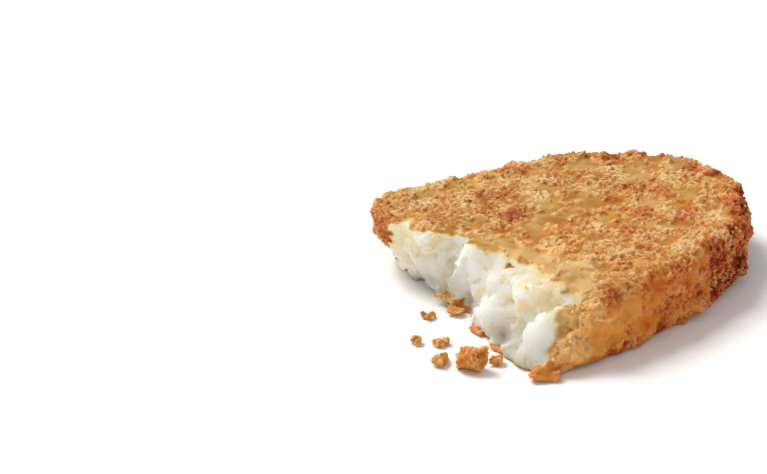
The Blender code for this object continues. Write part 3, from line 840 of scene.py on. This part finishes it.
# %% Tones of the lumps, the chunks and the facets
lump_tone = np.full(len(fine_points), JOINT_TONE)
for middle, axes, size, own in toned_lumps:
    off_middle = np.abs((fine_points - middle) @ axes / size).max(1)
    lump_tone += (own - lump_tone) * smooth_step(0.64, 0.5, off_middle)
lump_tone += 0.1 * smooth_noise(fine_points, 2.2 * MM, 23)
chunk_joint = np.zeros(len(fine_points))
inner = np.flatnonzero(fine_torn > 0.02)
for seed, (size, _) in enumerate(CHUNKS[:2]):
    _, middle, inside = chunks(fine_points[inner], size * MM, seed)
    lump_tone[inner] += 0.3 * (own_number(middle) - 0.5)
    chunk_joint[inner] = np.maximum(chunk_joint[inner], (0.3 - 0.1 * seed) * smooth_step(0.1, 0.0, inside))
side = np.flatnonzero(fine_wall > 0.02)
_, middle, _ = chunks(fine_points[side], FACET_SIZE * MM, FACET_SEED)
facet_tone = np.zeros(len(fine_points))
facet_tone[side] = own_number(middle) - 0.5
print("tones of the torn face:", round(lump_tone[inner].min(), 2), "to", round(lump_tone[inner].max(), 2))

# %% [markdown]
# ## How brown each place is
#
# Browning is one number: 0 is barely fried and 1 is scorched. It starts from a broad noise, because heat
# in the oil is uneven. On the sides it rises towards the rounded end, low down and in the grooves. Beside
# the tear it falls, because damp from the inside kept the crust pale. The marks come last.

# %% Brown the patty
x, y, z = fine_points.T
top = 1 - fine_wall
far_end = mm_step(-6, 26, x)
low = mm_step(3, 0.4, z)
groove = smooth_step(0.16, 0.0, fine_inside)
brown = 0.37 + 0.15 * smooth_noise(fine_points, 7 * MM, 11) + 0.17 * smooth_noise(fine_points, 2.6 * MM, 12)
brown += 0.17 * mm_step(-4, -18, x) * top
brown += 0.06 * mm_step(4, 16, y) * top
brown -= 0.14 * mm_step(0, 20, x) * top
brown += 0.3 * facet_tone * fine_wall * (1 - 0.7 * fine_crumbly)
brown += (fine_patch - 0.5) * 0.26 * (1 - fine_crumbly)
brown += 0.12 * (mm_step(-25, -31, x) * mm_step(12, 18, y))  # the far tip of the break
brown += fine_wall * (0.06 - 0.12 * mm_step(-8, -24, x) + 0.45 * far_end + 0.24 * low + 0.12 * groove)
underside = mm_step(0.5, 0.1, z) * top
brown += 0.16 * underside
# painted light: crumbly sides are drawn paler to offset the shade in their pits
brown -= 0.1 * fine_wall * fine_crumbly * (1 - far_end)
near_tear = mm_step(6.5, 0, behind_tear(fine_points))
soft_side = mm_step(8, -4, y)
brown -= near_tear * (0.08 + 0.32 * soft_side) * (1 - 0.5 * fine_wall)
for kind, own, share in (  # how brown each kind of mark is, and how fully it covers what was there
    ("amber", 0.5, 0.8),
    ("tan", 0.24, 0.8),
    ("cream", 0.05, 0.9),
    ("golden", 0.05 + 0.25 * facet_tone, 0.85),
    ("russet", 0.66 + 0.16 * np.maximum(fine_wall, far_end), 0.75),
    ("dark", 0.98, 0.8),
    ("sliver", fine_marks["sliver_brown"], 1),
):
    brown += (own - brown) * fine_marks[kind] * share
brown -= 0.12 * fine_marks["frizz"]
print("browning from", round(float(brown.min()), 2), "to", round(float(brown.max()), 2))

# %% Gather the attributes
# The sides get a warmer tint than the top, partly their own colour and partly painted warm shade, so less on
# the lit far side; less also beside the tear
lit_side = mm_step(-4, 12, y)
untinted = np.maximum(near_tear * soft_side, fine_marks["golden"]) * (1 - fine_marks["sliver"])
bleach = smooth_noise(fine_points, 3.4 * MM, 17) + 0.25 * smooth_noise(fine_points, 1.2 * MM, 18)
bleach = np.maximum(smooth_step(0.1, 0.7, bleach), fine_marks["frizz"])
ATTRIBUTES = {
    "torn": fine_torn,
    "crumbly": fine_crumbly,
    "crumb": fine_crumb,
    "tone": np.where(fine_torn > 0.5, lump_tone * (1 - fine_marks["white"]), crumb_tone),
    "olive": np.maximum(fine_marks["olive"], chunk_joint * np.clip(lump_tone + 0.3, 0, 1)),
    "calm": fine_wall * (1 - 0.4 * far_end),
    "proud": proud,
    "brown": np.clip(brown, 0, 1.2),
    # the attribute wall carries the warm side tint, which is partly painted shade
    "wall": np.maximum(fine_wall * (1 - 0.3 * untinted) * (1 - 0.45 * lit_side), 0.6 * underside),
    "bleach": bleach,
}


def put_attributes(mesh, attributes):
    for name, values in attributes.items():
        made = mesh.attributes.new(name, "FLOAT", "POINT")
        made.data.foreach_set("value", np.asarray(values, np.float32))


print("attributes:", ", ".join(ATTRIBUTES))

# %% [markdown]
# ## Colours
#
# The colours are given as they look on a screen and turned into the linear numbers that nodes take.
# Four node groups are shared by the materials: one draws the ridges of crumbs, one browns the crust, one
# colours the soft potato, and one makes the grain that the light catches. A small class adds nodes in few
# words, because a chain of sums and products is hard to read when each node takes three lines.

# %% Helpers for colours and nodes
def tint(red, green, blue):
    """A screen colour, 0 to 255, as the linear colour that a node takes."""
    return tuple(((c / 255 + 0.055) / 1.055) ** 2.4 if c > 10 else c / 3295 for c in (red, green, blue)) + (1,)


class Nodes:
    """Adds nodes to one tree and joins them, in few words."""

    def __init__(self, tree):
        self.tree = tree

    def add(self, kind, settings=(), **inputs):
        node = self.tree.nodes.new(kind)
        for name, value in dict(settings).items():
            setattr(node, name, value)
        for name, value in inputs.items():
            self.feed(node.inputs[name], value)
        return node

    def feed(self, socket, value):
        if isinstance(value, bpy.types.NodeSocket):
            self.tree.links.new(value, socket)
        else:
            socket.default_value = value

    def attribute(self, name):
        return self.add("ShaderNodeAttribute", {"attribute_name": name}).outputs["Fac"]

    def maths(self, operation, *values):
        node = self.add("ShaderNodeMath", {"operation": operation})
        for socket, value in zip(node.inputs, values):
            self.feed(socket, value)
        return node.outputs[0]

    def product(self, first, *others):
        for value in others:
            first = self.maths("MULTIPLY", first, value)
        return first

    def total(self, first, *others):
        for value in others:
            first = self.maths("ADD", first, value)
        return first

    def step(self, value, low, high, to_low=0.0, to_high=1.0):
        """Smooth step of a value, from to_low at low to to_high at high."""
        node = self.add("ShaderNodeMapRange", {"interpolation_type": "SMOOTHSTEP"})
        labels = ("Value", "From Min", "From Max", "To Min", "To Max")
        for label, number in zip(labels, (value, low, high, to_low, to_high)):
            self.feed(node.inputs[label], number)
        return node.outputs[0]

    def mix(self, share, first, second, blend="MIX"):
        """A colour between two colours."""
        node = self.add("ShaderNodeMix", {"data_type": "RGBA", "blend_type": blend})
        sockets = [s for s in node.inputs if s.type == "RGBA"]
        self.feed(node.inputs[0], share)
        self.feed(sockets[0], first)
        self.feed(sockets[1], second)
        return next(s for s in node.outputs if s.type == "RGBA")

    def ramp(self, value, stops):
        """A colour read off a row of screen colours, each at its own place from 0 to 1."""
        node = self.add("ShaderNodeValToRGB", Fac=value)
        while len(node.color_ramp.elements) < len(stops):
            node.color_ramp.elements.new(0.5)
        for element, (position, colour) in zip(node.color_ramp.elements, stops):
            element.position, element.color = position, tint(*colour)
        return node.outputs["Color"]

    def place(self):
        return self.add("ShaderNodeTexCoord").outputs["Object"]

    def noise(self, size, detail=2.0, roughness=0.5, shift=0.0):
        """Noise with bumps of about this size in metres, 0 to 1."""
        fed = {"Scale": 0.5 / size, "Detail": detail, "Roughness": roughness, "W": shift}
        node = self.add("ShaderNodeTexNoise", {"noise_dimensions": "4D"}, Vector=self.place(), **fed)
        return node.outputs["Fac"]

    def group(self, group, **inputs):
        return self.add("ShaderNodeGroup", {"node_tree": group}, **inputs).outputs[0]


NUMBER, COLOUR = "NodeSocketFloat", "NodeSocketColor"


def new_group(name, inputs, output, kind):
    """A shader node group with named number inputs: the group, its nodes, its inputs and its output."""
    group = bpy.data.node_groups.new(name, "ShaderNodeTree")
    for label, value in inputs.items():
        socket = group.interface.new_socket(name=label, in_out="INPUT", socket_type=NUMBER)
        socket.default_value = value
    group.interface.new_socket(name=output, in_out="OUTPUT", socket_type=kind)
    nodes = Nodes(group)
    entry, exit_node = nodes.add("NodeGroupInput"), nodes.add("NodeGroupOutput")
    return group, nodes, entry.outputs, exit_node.inputs[output]


# %% Node group: crumb ridges
# Bright lines where a winding noise crosses its middle value, like the edges of fried shreds
crumb_ridges, nodes, into, out = new_group("crumb_ridges", {"Size": 0.6, "Sharpness": 1.0}, "Ridge", NUMBER)
scale = nodes.maths("DIVIDE", 500.0, into["Size"])
winding = nodes.add("ShaderNodeTexNoise", Vector=nodes.place(), Scale=scale, Detail=1.5, Distortion=0.6)
off_middle = nodes.maths("ABSOLUTE", nodes.maths("SUBTRACT", winding.outputs["Fac"], 0.5))
fall = nodes.product(off_middle, into["Sharpness"], 9.0)
nodes.feed(out, nodes.maths("MAXIMUM", nodes.maths("SUBTRACT", 1.0, fall), 0.0))
print("group:", crumb_ridges.name)

# %% Node group: fried colour
BROWNS = (  # from barely fried to scorched
    (0.0, (224, 190, 132)),
    (0.16, (202, 158, 92)),
    (0.34, (189, 133, 62)),
    (0.52, (180, 104, 40)),
    (0.7, (154, 68, 26)),
    (0.86, (130, 46, 20)),
    (1.0, (84, 26, 14)),
)
TOP_TINT, OILY_AND_SHADED_SIDE_TINT = (0.81, 0.93, 0.99, 1), (1.36, 1.02, 0.66, 1)  # the sides are warmer: partly oil, partly painted warm shade

fried_inputs = {"Brown": 0.5, "Crumbly": 0.0, "Crumb": 0.0, "Tone": 0.5, "Proud": 0.0, "Ridge": 0.0}
fried_inputs.update({"Wall": 0.0, "Bleach": 0.0, "Calm": 0.0})
fried_colour, nodes, into, out = new_group("fried_colour", fried_inputs, "Color", COLOUR)
lively = nodes.step(into["Calm"], 0.0, 1.0, 1.0, 0.6)
mottle = nodes.total(nodes.noise(1.6 * MM, detail=3, roughness=0.6), -0.5)
speck = nodes.total(nodes.noise(0.45 * MM, detail=2, roughness=0.6, shift=3.0), -0.5)
crumb_speck = nodes.product(speck, nodes.total(0.15, nodes.product(into["Crumbly"], 0.45)))
# painted shade: the crust is browned where the skin lies deeper than round it
gap = nodes.product(nodes.maths("MAXIMUM", nodes.product(into["Proud"], -1.0), 0.0), 0.25)
uneven = nodes.total(nodes.product(mottle, 0.6), crumb_speck, gap)
browned = nodes.total(into["Brown"], nodes.product(uneven, lively))
crumbs_browned = nodes.product(into["Crumbly"], nodes.step(into["Wall"], 0.2, 0.8, -0.1, 0.02))
browned = nodes.total(browned, crumbs_browned)
ground = nodes.ramp(nodes.maths("DIVIDE", browned, 1.2), BROWNS)
ground = nodes.mix(1.0, ground, nodes.mix(into["Wall"], TOP_TINT, OILY_AND_SHADED_SIDE_TINT), blend="MULTIPLY")
shown_crumb = nodes.product(into["Crumb"], lively)
lightly_fried = nodes.step(into["Brown"], 0.9, 0.3, 0.3, 1.0)
pale_crumb = nodes.product(nodes.step(into["Tone"], 0.6, 0.1), shown_crumb, lightly_fried)
dark_crumb = nodes.product(nodes.step(into["Tone"], 0.7, 0.95), shown_crumb)
coloured = nodes.mix(nodes.product(pale_crumb, 0.55), ground, tint(238, 196, 142))
coloured = nodes.mix(nodes.product(dark_crumb, 0.25), coloured, tint(186, 110, 58))
# pale tips on crumb ridges that stand out: partly their own colour, partly a painted highlight
sharp_ridge = nodes.product(nodes.step(into["Ridge"], 0.45, 0.95), into["Crumbly"])
pale_tips_and_highlight = nodes.product(sharp_ridge, nodes.step(into["Proud"], -0.3, 0.5), lightly_fried, lively)
tip_colour = nodes.mix(into["Wall"], tint(246, 206, 156), tint(234, 184, 122))
coloured = nodes.mix(nodes.product(pale_tips_and_highlight, 0.6), coloured, tip_colour)
frizz = nodes.product(into["Bleach"], into["Crumbly"], nodes.step(into["Proud"], -0.2, 0.7))
frizz = nodes.product(frizz, nodes.step(into["Brown"], 0.95, 0.45, 0.35, 1.0))
frizz_colour = nodes.mix(into["Wall"], tint(242, 206, 172), tint(228, 178, 120))
nodes.feed(out, nodes.mix(nodes.product(frizz, 0.6), coloured, frizz_colour))
print("group:", fried_colour.name)

# %% Node group: colour of the soft potato
potato_inputs = {"Tone": 0.5, "Proud": 0.0, "Torn": 1.0, "Olive": 0.0}
potato_colour, nodes, into, out = new_group("potato_colour", potato_inputs, "Color", COLOUR)
cloud = nodes.noise(2.2 * MM, detail=2, shift=4.0)
white = nodes.mix(nodes.step(into["Tone"], 0.0, 1.0), tint(224, 222, 213), tint(222, 211, 180))
white = nodes.mix(nodes.step(cloud, 0.45, 0.75, 0.0, 0.35), white, tint(222, 211, 180))
# painted shade: deeper places of the torn face are drawn darker and creamier
white = nodes.mix(nodes.step(into["Proud"], -0.2, -1.0, 0.0, 0.5), white, tint(212, 200, 162))
# between the lumps the potato is yellowish, partly its own colour and partly painted shade
white = nodes.mix(nodes.product(into["Olive"], 0.7), white, tint(212, 194, 150))
edge = nodes.mix(nodes.step(into["Torn"], 0.05, 0.5), tint(202, 152, 80), tint(218, 190, 132))
nodes.feed(out, nodes.mix(nodes.step(into["Torn"], 0.35, 0.95), edge, white))
print("group:", potato_colour.name)

# %% Node group: grain
grain, nodes, into, out = new_group("grain", {"Size": 0.4, "Strength": 1.0}, "Height", NUMBER)
scale = nodes.maths("DIVIDE", 500.0, into["Size"])
ripple = nodes.add("ShaderNodeTexNoise", Vector=nodes.place(), Scale=scale, Detail=3.0, Roughness=0.62)
nodes.feed(out, nodes.product(ripple.outputs["Fac"], into["Strength"]))
print("group:", grain.name)

# %% [markdown]
# ## The material of the fried potato
#
# Crust and inside are one material with two settings, because the crust fades into the white potato and
# does not end at a line. Light goes far into boiled potato, which makes it look soft, and only a little
# way into the crust. So the inside glows over centimetres and the crust over a millimetre.

# %% Mix the fried potato
CRUST_ROUGHNESS, CRUMB_ROUGHNESS, POTATO_ROUGHNESS = 0.4, 0.56, 0.62
CRUST_GLOW = (0.5, 1.0 * MM, (1.0, 0.45, 0.2))  # weight, depth and colour
POTATO_GLOW = (1.0, 18.0 * MM, (1.0, 0.9, 0.78))


def set_glow(shader, weight, depth, colour):
    """Light that enters the surface, travels about this far and comes out in this colour."""
    shader.inputs["Subsurface Weight"].default_value = weight
    shader.inputs["Subsurface Radius"].default_value = colour
    shader.inputs["Subsurface Scale"].default_value = depth


def fried_potato(name, glow):
    """Crust where the attribute torn is 0 and soft white potato where it is 1."""
    material, shader = new_paint(name, CRUST_ROUGHNESS, shine=0.12)
    set_glow(shader, *glow)
    nodes = Nodes(material.node_tree)
    known = {label.capitalize(): nodes.attribute(label) for label in ATTRIBUTES}
    ridge = nodes.group(crumb_ridges, Size=0.75)
    crust = nodes.group(fried_colour, Ridge=ridge, **{n: known[n] for n in fried_inputs if n in known})
    flesh = nodes.group(potato_colour, **{n: known[n] for n in potato_inputs})
    nodes.feed(shader.inputs["Base Color"], nodes.mix(nodes.step(known["Torn"], 0.02, 0.3), crust, flesh))
    crusty = nodes.product(known["Crumbly"], nodes.step(known["Torn"], 0.5, 0.0))
    height = nodes.total(nodes.group(grain, Size=0.3, Strength=0.4), nodes.product(ridge, crusty, 0.8))
    bump = nodes.add("ShaderNodeBump", Height=height, Strength=0.45, Distance=0.16 * MM)
    nodes.feed(shader.inputs["Normal"], bump.outputs["Normal"])
    crust_rough = nodes.step(crusty, 0.0, 1.0, CRUST_ROUGHNESS, CRUMB_ROUGHNESS)
    rough = nodes.mix(known["Torn"], crust_rough, (POTATO_ROUGHNESS,) * 3 + (1,))
    nodes.feed(shader.inputs["Roughness"], rough)
    return material


crust_paint = fried_potato("fried_crust", CRUST_GLOW)
inside_paint = fried_potato("soft_potato", POTATO_GLOW)
print("materials:", crust_paint.name, inside_paint.name)

# %% [markdown]
# ## Three pieces from one skin
#
# The skin is too heavy for one piece, so it is divided: the top crust, the side and underside crust, and
# the torn end. The torn end takes a strip of crust with it, because light that enters the white potato
# comes out through the thin crust beside it, and it does that only within one piece. The pieces share
# the points along their edges, and each point keeps the normal that it had in the whole skin, so no line
# shows where they meet.

# %% Put the patty together
TORN_END = 8 * MM  # length of the strip of crust that goes with the torn end
TOP_FROM = 9.8 * MM  # height at which the top crust begins


def add_piece(name, mesh):
    piece = add_object(name, mesh)
    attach(piece, "root")
    return piece


triangle_corners, fine_normals = triangles_of(fine), normals_of(fine)
triangle_torn = fine_torn[triangle_corners].mean(1) > 0.5
triangle_top = fine_points[triangle_corners, 2].mean(1) > TOP_FROM
triangle_end = behind_tear(fine_points)[triangle_corners].mean(1) < TORN_END
for name, chosen, slot in (
    ("crust_top", ~triangle_end & triangle_top, "crust"),
    ("crust_side", ~triangle_end & ~triangle_top, "crust"),
    ("torn_end", triangle_end, "potato"),
):
    used, renumbered = np.unique(triangle_corners[chosen], return_inverse=True)
    made = mesh_of(name, fine_points[used], renumbered.reshape(-1, 3))
    put_attributes(made, {label: values[used] for label, values in ATTRIBUTES.items()})
    made.shade_smooth()
    made.normals_split_custom_set_from_vertices(fine_normals[used].tolist())
    made.materials.append(crust_paint)
    if name == "torn_end":
        made.materials.append(inside_paint)
        made.polygons.foreach_set("material_index", triangle_torn[chosen].astype(np.int32))
    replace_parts(add_piece(name, made), "hash_brown")
    print(name, "has", int(chosen.sum()), "triangles")

# %% [markdown]
# ## Pale bits on the crust
#
# Some crumbs hardly stuck to the crust. They fried last, stayed pale and stand free of it. They are many
# and tiny, so they are one piece of simple chips: each keeps its own edge, and no remesh rounds it off.

# %% Sprinkle the pale bits
BIT_COUNT = 1300
BIT_SIZE = (0.3, 0.8)  # mm
BIT_COLOURS = ((0.0, (206, 142, 80)), (0.5, (226, 172, 112)), (0.85, (238, 194, 140)), (1.0, (244, 214, 176)))
BIT_GLOW = (0.3, 0.4 * MM, (1.0, 0.5, 0.25))

bit_dice = np.random.default_rng(31)
bit_shapes, bit_triangles = chipped_shapes(16, 1, seed=12, squareness=3.0)
bit_weights = (fine_crumbly**2 * (0.25 + bleach) + 0.02) * (1 - fine_torn) * smooth_step(0.3, 0.9, proud)
bit_weights = bit_weights * mm_step(0.3, 1.5, fine_points[:, 2]) * (1 - 0.65 * fine_wall)
bit_weights *= 1 - 0.8 * fine_marks["russet"]
bit_places, bit_ways = scatter_places(fine, bit_weights, BIT_COUNT, bit_dice)
bit_sizes = (BIT_SIZE[0] + (BIT_SIZE[1] - BIT_SIZE[0]) * bit_dice.beta(1.2, 3, BIT_COUNT)) * MM
bit_points, bit_faces, _ = lumps_at(
    bit_places, bit_ways, bit_sizes, 0.6, (0.0, 0.2), bit_shapes, bit_triangles, bit_dice
)
bits = mesh_of("pale_bits", bit_points, bit_faces)
put_attributes(bits, {"tone": np.repeat(bit_dice.random(BIT_COUNT), len(bit_points) // BIT_COUNT)})
bit_paint, shader = new_paint("pale_bits", roughness=0.45, shine=0.3)
set_glow(shader, *BIT_GLOW)
nodes = Nodes(bit_paint.node_tree)
nodes.feed(shader.inputs["Base Color"], nodes.ramp(nodes.attribute("tone"), BIT_COLOURS))
bits.materials.append(bit_paint)
add_piece("pale_bits", bits)
print("pale bits:", BIT_COUNT, "with", len(bit_faces), "triangles")

# %% [markdown]
# ## Crumbs on the table
#
# Six bits of crust fell off when the patty was torn. They lie in front of the tear. Each is a few square
# lumps melted together, with crumbs on them, and the largest is a block with a peak at one end.

# %% Shape the loose crumbs
# x, y, length, width, height in mm, turn in degrees, how brown, how crumbly
LOOSE_CRUMBS = (
    (-33.7, 2.4, 3, 1.6, 1.5, -25, 0.38, 0.5),
    (-41, -3.6, 2.7, 2, 1.9, -60, 0.34, 0.6),
    (-38, -7, 3.9, 1.9, 1.8, -30, 0.2, 0.5),
    (-42.5, -12, 4.6, 3, 2.3, -35, 0.36, 0.7),
    (-39.1, -17.2, 6, 4, 4.4, -35, 0.44, 1),
    (-33.7, -18, 2.8, 2.2, 2.2, 20, 0.55, 0.8),
)
BIG_CRUMB = 4
# The middles of its two parts along, across and up, and their sizes, in mm
BIG_CRUMB_PARTS = (((-0.3, 0.0, 1.9), (5.8, 4.4, 4.6)), ((1.7, 0.2, 2.3), (2.9, 3.8, 5.6)))
LUMPS_IN_CRUMB = 5
BITS_PER_MM = 14  # on a fully crumbly crumb

loose_dice = np.random.default_rng(5)
loose_pile = Pile()
bit_middles, bit_sizes = [], []
for number, (x, y, length, width, height, turn, _, crumbly) in enumerate(LOOSE_CRUMBS):
    along = np.array((math.cos(math.radians(turn)), math.sin(math.radians(turn)), 0))
    across = np.array((-along[1], along[0], 0))
    spots = loose_dice.uniform(-0.32, 0.32, (LUMPS_IN_CRUMB, 2)) * (length, width)
    low = height * loose_dice.uniform(0.3, 0.42, LUMPS_IN_CRUMB)
    middles = np.array((x, y, 0)) + spots[:, :1] * along + spots[:, 1:] * across + low[:, None] * (0, 0, 1)
    sizes = np.minimum(height * 0.85, width * 0.75) * loose_dice.uniform(0.8, 1.15, LUMPS_IN_CRUMB)
    up = np.tile((0, 0, 1.0), (LUMPS_IN_CRUMB, 1))
    body, faces, _ = lumps_at(
        middles * MM, up, sizes * MM, 1.0, (0, 0.01), lump_shapes, lump_triangles, loose_dice
    )
    if number == BIG_CRUMB:
        axes = np.stack([along, across, (0, 0, 1)], 1)
        parts = [(shape * size + place) @ axes.T for shape, (place, size) in zip(big_shapes, BIG_CRUMB_PARTS)]
        body = (np.concatenate(parts) + (x, y, 0)) * MM
        faces = np.concatenate([big_triangles, big_triangles + len(parts[0])])
    loose_pile.add(body, faces)
    more, larger = (2.4, 1.1) if number == BIG_CRUMB else (1, 1)
    count = int(crumbly * BITS_PER_MM * length * more)
    chosen = body[loose_dice.integers(len(body), size=count)]
    outward = unit(chosen - np.array((x, y, height * 0.4)) * MM)
    sizes = loose_dice.uniform(0.5, 1.0, count) * larger * MM
    crust_bits, faces, middles = lumps_at(
        chosen, outward, sizes, 0.8, (-0.05, 0.2), crumb_shapes, crumb_triangles, loose_dice
    )
    bit_middles.append(middles)
    bit_sizes.append(sizes)
    loose_pile.add(crust_bits, faces)
print("loose crumbs:", len(LOOSE_CRUMBS), "of", sum(len(sizes) for sizes in bit_sizes), "bits")

# %% Melt and colour the loose crumbs
LOOSE_STEP = 0.14 * MM
MOST_LOOSE_TRIANGLES = 60000
LOOSE_WALL, BIG_CRUMB_WALL = 0.45, 0.7  # how much of the warm tint of the sides they get

rough_loose = mesh_of("rough_loose", np.concatenate(loose_pile.points), np.concatenate(loose_pile.triangles))
loose = skin_of(rough_loose, LOOSE_STEP)
loose_points = softened(points_of(loose), edges_of(loose), 1)
loose_points[:, 2] = loose_points[:, 2].clip(0.01 * MM)
put_points(loose, loose_points)
loose = thinned(loose, MOST_LOOSE_TRIANGLES)
loose_points = points_of(loose)
crumb_spots = np.array([crumb[:2] for crumb in LOOSE_CRUMBS])
nearest = np.linalg.norm(loose_points[:, None, :2] / MM - crumb_spots, axis=2).argmin(1)
own_brown, own_crumbly = np.array([crumb[6:] for crumb in LOOSE_CRUMBS])[nearest].T
bit_tone, on_bit = nearest_tone(loose_points, np.concatenate(bit_middles), np.concatenate(bit_sizes), 43)
loose_attributes = {label: np.zeros(len(loose_points)) for label in ATTRIBUTES}
loose_attributes.update(
    crumbly=own_crumbly * smooth_step(-0.4, 0.2, smooth_noise(loose_points, 2.2 * MM, 42)),
    crumb=on_bit,
    tone=bit_tone,
    proud=proudness(loose, 0.12 * MM),
    brown=own_brown + 0.2 * smooth_noise(loose_points, 1.4 * MM, 41),
    wall=np.where(nearest == BIG_CRUMB, BIG_CRUMB_WALL, LOOSE_WALL),
)
put_attributes(loose, loose_attributes)
loose.materials.clear()
loose.materials.append(crust_paint)
loose.shade_smooth()
add_piece("loose_crumbs", loose)
print("loose crumbs have", len(loose.polygons), "faces")
